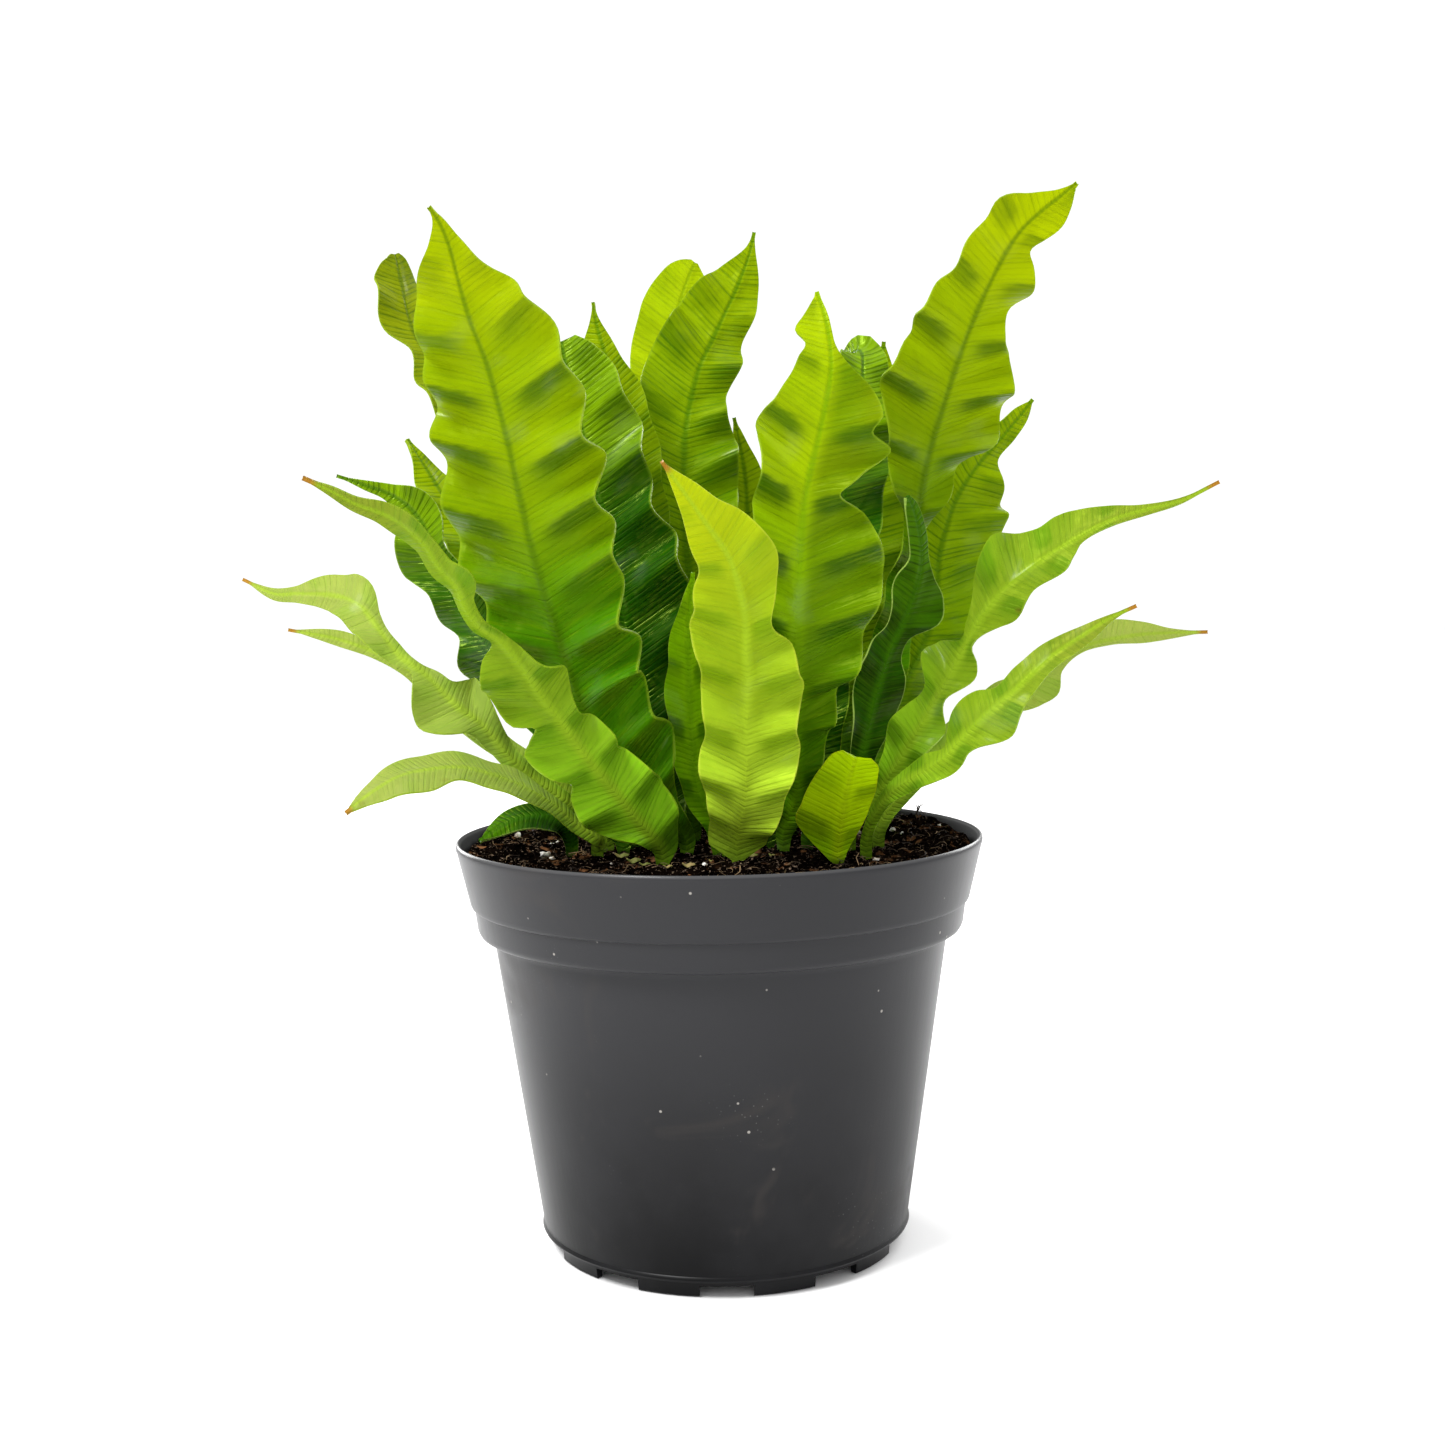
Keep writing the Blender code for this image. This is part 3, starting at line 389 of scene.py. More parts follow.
# %% Pot shell
inner_shoulder = BAND_FOOT_HEIGHT + 2.5 * MM
pot_profile = [
    (FOOT_RADIUS - FOOT_WALL, FLOOR_UNDERSIDE),
    (FOOT_RADIUS - FOOT_WALL, 0.25 * MM),
    (FOOT_RADIUS - FOOT_WALL + 0.25 * MM, 0.0),
    (FOOT_RADIUS - 0.25 * MM, 0.0),
    (FOOT_RADIUS, 0.25 * MM),
    (FOOT_RADIUS + 0.25 * MM, RIDGE_HEIGHT - 1.7 * MM),
    (FOOT_RADIUS + 0.5 * MM, RIDGE_HEIGHT - 1.3 * MM),
    (BODY_FOOT_RADIUS + 0.35 * MM, RIDGE_HEIGHT - 0.6 * MM),
    (BODY_FOOT_RADIUS + 0.6 * MM, RIDGE_HEIGHT - 0.1 * MM),
    (BODY_FOOT_RADIUS + 0.45 * MM, RIDGE_HEIGHT + 0.4 * MM),
    (BODY_FOOT_RADIUS + 0.1 * MM, RIDGE_HEIGHT + 0.8 * MM),
    (body_radius(RIDGE_HEIGHT + 1.4 * MM), RIDGE_HEIGHT + 1.4 * MM),
    (body_radius(30 * MM), 30 * MM),
    (body_radius(60 * MM), 60 * MM),
    (body_radius(BAND_FOOT_HEIGHT - 2.4 * MM), BAND_FOOT_HEIGHT - 2.4 * MM),
    (BODY_TOP_RADIUS + 0.1 * MM, BAND_FOOT_HEIGHT - 0.8 * MM),
    (BODY_TOP_RADIUS + 0.7 * MM, BAND_FOOT_HEIGHT - 0.15 * MM),
    (BAND_FOOT_RADIUS - 1.0 * MM, BAND_FOOT_HEIGHT),
    (BAND_FOOT_RADIUS - 0.4 * MM, BAND_FOOT_HEIGHT + 0.4 * MM),
    (BAND_FOOT_RADIUS, BAND_FOOT_HEIGHT + 1.1 * MM),
    (BAND_FOOT_RADIUS + 0.3 * MM, BAND_FOOT_HEIGHT + 1.9 * MM),
    (STEP_RADIUS - 1.0 * MM, STEP_HEIGHT - 1.2 * MM),
    (STEP_RADIUS - 0.8 * MM, STEP_HEIGHT - 0.4 * MM),
    (STEP_RADIUS - 0.1 * MM, STEP_HEIGHT),
    (STEP_RADIUS + 0.15 * MM, STEP_HEIGHT + 0.5 * MM),
    (STEP_RADIUS + 0.4 * MM, STEP_HEIGHT + 1.4 * MM),
    (RIM_RADIUS - 0.3 * MM, POT_HEIGHT - 2.4 * MM),
    (RIM_RADIUS - 0.05 * MM, POT_HEIGHT - 1.7 * MM),
    (RIM_RADIUS, POT_HEIGHT - 1.0 * MM),
    (RIM_RADIUS - 0.15 * MM, POT_HEIGHT - 0.35 * MM),
    (RIM_RADIUS - 0.55 * MM, POT_HEIGHT),
    (RIM_RADIUS - 0.95 * MM, POT_HEIGHT - 0.1 * MM),
    (RIM_RADIUS - 0.2 * MM - WALL, POT_HEIGHT - 0.7 * MM),
    (RIM_RADIUS - 0.35 * MM - WALL, POT_HEIGHT - 1.6 * MM),
    (STEP_RADIUS - 0.8 * MM - WALL, STEP_HEIGHT + 0.4 * MM),
    (STEP_RADIUS - 1.4 * MM - WALL, STEP_HEIGHT - 1.0 * MM),
    (BAND_FOOT_RADIUS - 0.6 * MM - WALL, inner_shoulder),
    (body_radius(BAND_FOOT_HEIGHT) - WALL, BAND_FOOT_HEIGHT + 0.6 * MM),
    (body_radius(8 * MM) - WALL, 8 * MM),
    (FOOT_RADIUS - 1.5 * MM, FLOOR_TOP),
]
pot = pull_rings("grower_pot", pot_profile, POT_SIDES)
print("pot rings:", len(pot_profile))

# %% [markdown]
# ## Feet and drainage
# The foot ring is moulded with gaps, so that water runs out under the pot, and round holes go
# through the floor. Both are cut with plain cutters: one box turned round the axis for the gaps,
# and one upright cylinder for the holes.

# %% Feet and drainage
gap_cutters = []
for i in range(FEET):
    angle = 2 * math.pi * i / FEET - math.pi / 2
    place = on_ring(FOOT_RADIUS - FOOT_WALL / 2, angle, 0.0)
    clear_selection()
    bpy.ops.mesh.primitive_cube_add(size=1.0, location=place, rotation=(0, 0, angle))
    bpy.context.object.scale = (3 * FOOT_WALL, FOOT_GAP_WIDTH, 2 * FOOT_GAP_HEIGHT)
    gap_cutters.append(settle())
drain_cutters = []
for i in range(DRAIN_HOLES):
    angle = 2 * math.pi * (i + 0.5) / DRAIN_HOLES
    place = on_ring(DRAIN_RING_RADIUS, angle, (FLOOR_UNDERSIDE + FLOOR_TOP) / 2)
    clear_selection()
    bpy.ops.mesh.primitive_cylinder_add(
        vertices=DRAIN_SIDES, radius=DRAIN_RADIUS, depth=DRAIN_CUT, location=place)
    drain_cutters.append(settle())
cut_away(pot, gap_cutters)
cut_away(pot, drain_cutters)
smooth_faces(pot, 40)
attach(pot, "root")
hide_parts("pot")
print("pot faces:", len(pot.data.polygons))

# %% [markdown]
# ## Plastic
# The plastic is dyed right through, a charcoal that is nearly black. Its shine is what shows:
# satin, with a faint grain from the mould, a few dull smears of dried water, fine scratches from
# handling and stray specks of white dust. Colour, shine and relief are all worked out from the
# place on the pot. Light and shade are also painted into the colour: it darkens to near black
# towards the foot and on the inner wall as painted shade, and the lip is paler as a painted
# highlight.

# %% Plastic patterns
plastic = Page("charcoal_plastic")
place = plastic.place()
cloud = plastic.noise(place, 22.0, 4.0, 0.55)
streaks = plastic.noise(plastic.stretched(place, (900.0, 900.0, 16.0)), 1.0)
grain = plastic.noise(place, 2600.0)
speck = 1.0 - plastic.cells(place, 170.0).rise(0.05, 0.09)
speck = speck * plastic.noise(place, 55.0, 1.0).rise(0.56, 0.6)
dust = 1.0 - plastic.cells(place, 620.0).rise(0.06, 0.16)
dust = dust * plastic.noise(place, 30.0).rise(0.55, 0.75)
scratch_place = plastic.stretched(place, (60.0, 60.0, 520.0), (0.3, 0.1, 0.2))
scratch = 1.0 - plastic.cells(scratch_place, 1.0).rise(0.0, 0.035)
scratch = scratch * plastic.noise(place, 34.0, 1.0).rise(0.6, 0.66)
smear = plastic.noise(place, 30.0, 3.0, 0.6, 0.8).rise(0.58, 0.72)
height = plastic.part(place, "Z")
level_place = plastic.add("VectorMath", {"operation": "MULTIPLY"}, {0: place, 1: (1.0, 1.0, 0.0)})
radius = plastic.amount("VectorMath", {"operation": "LENGTH"}, {0: level_place.outputs[0]}, "Value")
band_flare = (RIM_RADIUS - STEP_RADIUS) / (POT_HEIGHT - STEP_HEIGHT)
# inside marks the inner wall above the step: it gets near-black painted shade and a rougher finish.
depth_in = (height - STEP_HEIGHT) * band_flare + STEP_RADIUS - radius
inside = depth_in.rise(WALL * 0.5, WALL * 0.8) * height.rise(STEP_HEIGHT, STEP_HEIGHT + 1 * MM)
# The lip ring: its paler colour is a painted highlight, and its lower roughness is real gloss.
lip = height.rise(POT_HEIGHT - 1.0 * MM, POT_HEIGHT - 0.4 * MM)
print("nodes for the patterns:", len(plastic.tree.nodes))

# %% Plastic
GRAIN_DEPTH = 0.00006
GRAIN_STRENGTH = 0.6
PLASTIC_SHEEN = 0.13

# The colour darkens from the band down to near black at the foot: painted shade. The lip layer is a
# painted highlight, and the inside layer is painted shade.
dull = plastic.layered(
    (0.001, 0.001, 0.0013),
    (height.rise(0.0, BAND_FOOT_HEIGHT), (0.0255, 0.0255, 0.0275)),
    (cloud.rise(0.35, 0.7) * 0.3, (0.026, 0.026, 0.029)),
    (smear * 0.22, (0.05, 0.042, 0.036)),
    (scratch * 0.5, (0.11, 0.11, 0.115)),
    (dust * 0.35, (0.16, 0.155, 0.15)),
    (speck * 0.75, (0.36, 0.34, 0.31)),
    (lip * 0.5, (0.08, 0.08, 0.082)),
    (inside * 0.85, (0.002, 0.002, 0.002)))
shine = 0.27 + cloud * 0.10 + streaks * 0.05 + smear * 0.08 + speck * 0.3 + inside * 0.4 - lip * 0.1
relief = grain * 0.35 + streaks * 0.3 + speck * 0.8 - scratch * 0.6
normal = plastic.bump(relief, GRAIN_DEPTH, GRAIN_STRENGTH)
plastic.give(Base_Color=dull, Roughness=shine, Normal=normal, Specular_IOR_Level=PLASTIC_SHEEN)
dress(pot, plastic)
print("plastic:", plastic.material.name)

# %% [markdown]
# ## Soil
# Potting peat fills the pot to a few millimetres under the lip and is slightly mounded round the
# plant. Its body is pulled up in rings like the pot, so that it is closed. Its top then gets a
# crumbly relief from layers of noise, which is how loose peat lies, and is heaped a little
# against the wall, most of all at the back.

# %% Soil heights
SOIL_EDGE_HEIGHT = 112.5 * MM
MOUND_HEIGHT = 3.5 * MM
MOUND_RADIUS = 45 * MM
UNEVEN_LENGTH = 9 * MM
SOIL_ROUGHNESS = 0.6 * MM
SOIL_RELIEF = 1.5 * MM
COARSE_LENGTH = 4.2 * MM
FINE_LENGTH = 1.5 * MM
HEAP_START = 50 * MM
HEAP_END = 67 * MM
HEAP_FRONT = 1.2 * MM
HEAP_BACK = 4.2 * MM


def smooth_step(low, high, value):
    """A smooth rise from 0 at low to 1 at high."""
    share = min(max((value - low) / (high - low), 0.0), 1.0)
    return share * share * (3 - 2 * share)


def soil_height(x, y):
    """Height of the soil's uneven, slightly mounded top."""
    mound = MOUND_HEIGHT * math.exp(-(x * x + y * y) / MOUND_RADIUS ** 2)
    u = x / UNEVEN_LENGTH
    v = y / UNEVEN_LENGTH
    bumps = math.sin(1.9 * u + 0.4) * math.cos(1.3 * v) + math.sin(0.8 * u - 1.7 * v + 1.1)
    return SOIL_EDGE_HEIGHT + mound + SOIL_ROUGHNESS * bumps


def peat_relief(x, y):
    """How far a place on the soil stands above or below its smooth top."""
    coarse = noise.noise(Vector((x, y, 0.3)) / COARSE_LENGTH)
    fine = noise.noise(Vector((x, y, 0.7)) / FINE_LENGTH)
    away = math.hypot(x, y)
    at_back = smooth_step(-0.4, 0.5, y / max(away, 1 * MM))
    heap = HEAP_FRONT + at_back * (HEAP_BACK - HEAP_FRONT)
    heap = heap * smooth_step(HEAP_START, HEAP_END, away)
    return SOIL_RELIEF * (0.62 * coarse + 0.38 * fine) + heap


print("soil height in the middle:", round(soil_height(0.0, 0.0) / MM, 1), "mm")

# %% Soil body
CLEARANCE = 0.3 * MM
INNER_STEP = 0.9 * MM
SOIL_SIDES = 144
SOIL_RINGS = 64

top_share = (SOIL_EDGE_HEIGHT - STEP_HEIGHT) / (POT_HEIGHT - STEP_HEIGHT)
soil_radius = STEP_RADIUS - WALL - CLEARANCE - INNER_STEP + top_share * (RIM_RADIUS - STEP_RADIUS)
soil_profile = [
    (FOOT_RADIUS - FOOT_WALL, FLOOR_TOP + CLEARANCE),
    (body_radius(8 * MM) - WALL - CLEARANCE, 8 * MM),
    (body_radius(BAND_FOOT_HEIGHT) - WALL - CLEARANCE, BAND_FOOT_HEIGHT + 0.6 * MM),
    (BAND_FOOT_RADIUS - 0.6 * MM - WALL - CLEARANCE, inner_shoulder),
    (STEP_RADIUS - 1.0 * MM - WALL - CLEARANCE, STEP_HEIGHT - 0.3 * MM),
]
for i in range(SOIL_RINGS):
    soil_profile.append((soil_radius * (1 - i / SOIL_RINGS), SOIL_EDGE_HEIGHT))
soil = pull_rings("peat_top", soil_profile, SOIL_SIDES)
for vertex in soil.data.vertices:
    if vertex.co.z > SOIL_EDGE_HEIGHT - 0.1 * MM:
        x, y = vertex.co.x, vertex.co.y
        vertex.co.z = soil_height(x, y) + peat_relief(x, y)
smooth_faces(soil, 60)
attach(soil, "root")
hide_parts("soil")
print("soil faces:", len(soil.data.polygons))

# %% [markdown]
# ## What lies on the soil
# Peat is crumbs, fibres and bits of bark, with white perlite grains mixed in. One small uneven
# crumb is modelled and copied with a new size and turn each time, and so is one bent fibre. A
# seeded generator draws the places, so that the soil is the same each time.

# %% Places on the soil
SEED = 7
SIGHT_STEPS = 30
draws = np.random.default_rng(SEED)


def on_sight_line(pixel_x, pixel_y, depth):
    """The point at depth Y that is seen at a pixel of the picture."""
    across = pixel_x - PICTURE_CENTRE
    up = PICTURE_CENTRE - pixel_y
    level_across = across * math.cos(EYE_ROLL) + up * math.sin(EYE_ROLL)
    level_up = up * math.cos(EYE_ROLL) - across * math.sin(EYE_ROLL)
    right = np.array([1.0, 0.0, 0.0])
    ahead = np.array([0.0, math.cos(EYE_PITCH), -math.sin(EYE_PITCH)])
    above = np.array([0.0, math.sin(EYE_PITCH), math.cos(EYE_PITCH)])
    way = ahead + right * level_across / FOCAL_PIXELS + above * level_up / FOCAL_PIXELS
    return EYE + way * (depth - EYE[1]) / way[1]


def on_soil(pixel_x, pixel_y):
    """The place (x, y) on the soil that is seen at a pixel of the picture."""
    near = -soil_radius
    far = soil_radius
    for _ in range(SIGHT_STEPS):
        middle = (near + far) / 2
        point = on_sight_line(pixel_x, pixel_y, middle)
        if point[2] > soil_height(point[0], point[1]):
            near = middle
        else:
            far = middle
    inward = min(1.0, 0.96 * soil_radius / math.hypot(point[0], point[1]))
    return point[0] * inward, point[1] * inward


def on_crumbs(x, y, lift):
    """The point that is this much above the crumbly top at (x, y)."""
    return x, y, soil_height(x, y) + peat_relief(x, y) + lift


def random_place(reach=0.985):
    """A random place (x, y) on the soil."""
    angle = draws.uniform(0, 2 * math.pi)
    away = soil_radius * reach * math.sqrt(draws.uniform(0, 1))
    return on_ring(away, angle, 0.0)[:2]


print("a point 2 mm above the middle of the soil:", on_crumbs(0.0, 0.0, 2 * MM))

# %% Turned copies
FULL_TURN = 6.28


def turned(first, first_axis, second, second_axis):
    """A turn about the second axis and then about the first."""
    turn = Matrix.Rotation(first, 3, first_axis) @ Matrix.Rotation(second, 3, second_axis)
    return turn.to_quaternion()


def random_turn():
    """A random turn about two axes."""
    return turned(draws.uniform(0, FULL_TURN), "X", draws.uniform(0, FULL_TURN), "Z")


def copy_many(name, pattern, places):
    """One mesh of many turned and sized copies of a pattern, joined as the copies are made."""
    base = np.empty(len(pattern.data.vertices) * 3)
    pattern.data.vertices.foreach_get("co", base)
    base = base.reshape(-1, 3)
    faces = [tuple(face.vertices) for face in pattern.data.polygons]
    points = []
    all_faces = []
    for centre, turn, size in places:
        matrix = np.array(turn.to_matrix())
        start = len(points) * len(base)
        points.append((base * np.array(size)) @ matrix.T + np.array(centre))
        all_faces.extend([tuple(start + i for i in face) for face in faces])
    mesh = bpy.data.meshes.new(name)
    mesh.from_pydata([tuple(p) for p in np.concatenate(points)], [], all_faces)
    made = bpy.data.objects.new(name, mesh)
    bpy.context.scene.collection.objects.link(made)
    bpy.data.objects.remove(pattern, do_unlink=True)
    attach(made, "root")
    return made


def uneven_grain(subdivisions, unevenness):
    """A grain of radius 1 with an uneven surface."""
    clear_selection()
    bpy.ops.mesh.primitive_ico_sphere_add(subdivisions=subdivisions, radius=1.0)
    grain = bpy.context.object
    for vertex in grain.data.vertices:
        vertex.co *= 1 + unevenness * noise.noise(vertex.co * 1.7 + Vector((3.1, 0.2, 5.0)))
    return grain


print("a quarter turn about X:", turned(math.pi / 2, "X", 0.0, "Z"))

# %% Crumbs
CRUMBS = 2800
crumb_places = []
for i in range(CRUMBS):
    x, y = random_place()
    size = draws.uniform(0.2, 0.62) * MM * (1.7 if i % 14 == 0 else 1.0)
    sizes = (size * draws.uniform(0.8, 1.5), size * draws.uniform(0.7, 1.1), size * 0.75)
    crumb_places.append((on_crumbs(x, y, size * 0.35), random_turn(), sizes))
crumbs = copy_many("peat_crumbs", uneven_grain(1, 0.9), crumb_places)
print("crumbs:", CRUMBS)

# %% Perlite
PERLITE_SEEN = ((546, 859, 1.5), (553, 861, 1.1), (518, 847, 1.0), (705, 868, 0.7), (876, 861, 0.8),
                (611, 862, 0.4), (498, 846, 0.4), (902, 838, 0.4), (948, 838, 0.5))
PERLITE_ELSEWHERE = 36
PERLITE_REACH = 0.8
PERLITE_BEHIND = 8 * MM
perlite_places = [(*on_soil(px, py), size * MM) for px, py, size in PERLITE_SEEN]
for i in range(PERLITE_ELSEWHERE):
    x, y = random_place(PERLITE_REACH)
    perlite_places.append((x, abs(y) + PERLITE_BEHIND, draws.uniform(0.4, 1.2) * MM))
perlite_spots = []
for x, y, size in perlite_places:
    sizes = (size * draws.uniform(0.9, 1.3), size, size * draws.uniform(0.7, 0.95))
    perlite_spots.append((on_crumbs(x, y, size * 0.4), random_turn(), sizes))
perlite = copy_many("perlite_grains", uneven_grain(2, 0.7), perlite_spots)
print("perlite grains:", len(perlite_spots))

# %% Fibres
FIBRES = 900
FIBRE_SIDES = 5
FIBRE_BEND = 0.35
FIBRE_HALF_THICKNESS = 0.02
SPRIG_PLACE = (61.5 * MM, 31.5 * MM)
SPRIG_LENGTH = 7 * MM
SPRIG_LIFT = 2.5 * MM


def bent_fibre(bend):
    """A thin fibre of length 1 along X, bent and tapered."""
    clear_selection()
    bpy.ops.mesh.primitive_cylinder_add(
        vertices=FIBRE_SIDES, radius=1.0, depth=1.0, rotation=(0, math.pi / 2, 0))
    fibre = settle()
    bpy.ops.object.mode_set(mode="EDIT")
    for cut in (-0.25, 0.0, 0.25):
        bpy.ops.mesh.select_all(action="SELECT")
        bpy.ops.mesh.bisect(plane_co=(cut, 0, 0), plane_no=(1, 0, 0))
    bpy.ops.object.mode_set(mode="OBJECT")
    for vertex in fibre.data.vertices:
        x = vertex.co.x
        thin = (1 - 1.6 * x * x) * FIBRE_HALF_THICKNESS
        vertex.co.y = vertex.co.y * thin + bend * (0.25 - x * x) + 0.12 * math.sin(7 * x)
        vertex.co.z = vertex.co.z * thin + 0.3 * bend * math.cos(5 * x)
    return fibre


fibre_places = []
for i in range(FIBRES):
    length = draws.uniform(1.2, 5.0) * MM * (1.8 if i % 10 == 0 else 1.0)
    x, y = random_place(0.97 - 0.65 * length / soil_radius)
    steep = draws.uniform(-0.35, 0.35) if i % 9 else draws.uniform(0.4, 1.2)
    turn = turned(draws.uniform(0, FULL_TURN), "Z", steep, "Y")
    fibre_places.append((on_crumbs(x, y, 0.5 * MM), turn, (length, length * 0.9, length * 0.9)))
sprig_x, sprig_y = SPRIG_PLACE
sprig_z = soil_height(sprig_x, sprig_y) + SPRIG_LIFT + 0.42 * SPRIG_LENGTH
for lean in (-0.9, -0.5, -0.2, 0.1, 0.4, 0.7, 1.0):
    turn = turned(lean * 2.4, "Z", -1.25 + 0.3 * lean, "Y")
    fibre_places.append(((sprig_x + lean * 1.3 * MM, sprig_y, sprig_z), turn, (SPRIG_LENGTH,) * 3))
fibres = copy_many("peat_fibres", bent_fibre(FIBRE_BEND), fibre_places)
print("fibres:", len(fibre_places))

# %% Dried leaf bits
BIT_PLACES = ((606, 851, 3.2), (622, 858, 3.8), (634, 863, 4.2), (645, 866, 3.0), (689, 868, 3.4),
              (668, 869, 2.6), (732, 858, 2.8), (752, 857, 3.2), (772, 857, 2.0), (598, 846, 2.2),
              (712, 862, 1.8), (896, 808, 2.6), (903, 813, 2.4))
BIT_THICKNESS = 0.07
clear_selection()
bpy.ops.mesh.primitive_grid_add(x_subdivisions=6, y_subdivisions=4, size=1.0)
bit = bpy.context.object
for vertex in bit.data.vertices:
    square = vertex.co.x ** 2
    vertex.co.y *= 0.5 * (1 - 2.6 * square)
    vertex.co.z = 0.25 * square - 0.5 * abs(vertex.co.y) + 0.08 * math.sin(9 * vertex.co.x)
thickness = bit.modifiers.new("Thickness", "SOLIDIFY")
thickness.thickness = BIT_THICKNESS
bpy.ops.object.modifier_apply(modifier="Thickness")
bit_spots = []
for px, py, length in BIT_PLACES:
    turn = turned(draws.uniform(-0.7, 0.7), "Z", draws.uniform(-0.5, 0.5), "X")
    bit_spots.append((on_crumbs(*on_soil(px, py), 0.9 * MM), turn, (length * MM,) * 3))
leaf_bits = copy_many("dried_leaf_bits", bit, bit_spots)
print("leaf bits:", len(bit_spots))

# %% [markdown]
# ## Peat, perlite and fibre finishes
# Moist peat is nearly black, with brown and rust specks where bark shows. Perlite is chalk white
# with stained hollows. Fibres run from dark brown to straw. The bark and grit flecks on the peat
# thin out towards the right, as painted shade there. Each finish reads the place on the object,
# so neighbouring grains differ.

# %% Peat
PEAT_RELIEF = 0.0006

peat = Page("peat_soil")
place = peat.place()
patch = peat.noise(place, 130.0, 4.0, 0.6)
grit = peat.noise(place, 900.0, 3.0, 0.6)
rust = peat.cells(place, 420.0, "Color")
# Fewer light bark and grit flecks towards the right (+X): painted shade.
flecks_painted_shade_right = peat.part(place, "X").rise(5 * MM, 40 * MM, 1.0, 0.35) * 0.85
tone = peat.layered(
    (0.0008, 0.0005, 0.0004),
    (patch.rise(0.35, 0.7), (0.004, 0.0023, 0.0015)),
    (rust.rise(0.78, 0.86) * patch.rise(0.42, 0.6) * flecks_painted_shade_right, (0.19, 0.085, 0.036)),
    (grit.rise(0.61, 0.67) * flecks_painted_shade_right, (0.24, 0.17, 0.12)))
normal = peat.bump(grit + patch * 0.6, PEAT_RELIEF, 0.9)
peat.give(Base_Color=tone, Roughness=0.85 + patch * 0.1, Normal=normal, Specular_IOR_Level=0.0)
dress(soil, peat)
dress(crumbs, peat)
print("peat:", peat.material.name)

# %% Perlite, fibre and leaf bits
CHALK_RELIEF = 0.00025
STRAW_SHEEN = 0.2

chalk = Page("perlite")
place = chalk.place()
stain = chalk.noise(place, 500.0, 3.0, 0.6)
tone = chalk.mix(stain.rise(0.42, 0.68), (0.78, 0.76, 0.71), (0.30, 0.22, 0.14))
normal = chalk.bump(chalk.cells(place, 2400.0), CHALK_RELIEF, 0.8)
chalk.give(Base_Color=tone, Roughness=0.85, Normal=normal)
dress(perlite, chalk)

straw = Page("peat_fibre")
kind = straw.noise(straw.place(), 120.0)
tone = straw.mix(kind.rise(0.46, 0.64), (0.02, 0.012, 0.007), (0.26, 0.17, 0.09))
straw.give(Base_Color=tone, Roughness=0.7 + kind * 0.15, Specular_IOR_Level=STRAW_SHEEN)
dress(fibres, straw)

dried = Page("dried_leaf")
age = dried.noise(dried.place(), 260.0, 3.0, 0.6)
tone = dried.mix(age.rise(0.4, 0.62), (0.17, 0.19, 0.04), (0.30, 0.22, 0.09))
dried.give(Base_Color=tone, Roughness=0.6 + age * 0.2, Specular_IOR_Level=STRAW_SHEEN)
dress(leaf_bits, dried)
print("other finishes:", [page.material.name for page in (chalk, straw, dried)])

# %% [markdown]
# ## The plan of each frond
# Each frond stands at base (x, y) in millimetres. rib holds places given along its rib, from the
# soil to the tip: pixel x, pixel y and depth in millimetres. Where a blade has lobes, each place
# also holds the half widths left and right of it. Otherwise left and right hold them at even
# steps, or width holds the widest one of a common shape. turn is the blade's twist in degrees,
# ripple is how far the margin swings in millimetres, and scallop how much it waves in and out.

# %% Frond plans
PLAIN_SHAPE = (0.26, 0.48, 0.7, 0.9, 1.0, 0.92, 0.62, 0.0)
SLIM_SHAPE = (0.3, 0.5, 0.75, 0.95, 1.0, 0.85, 0.5, 0.0)

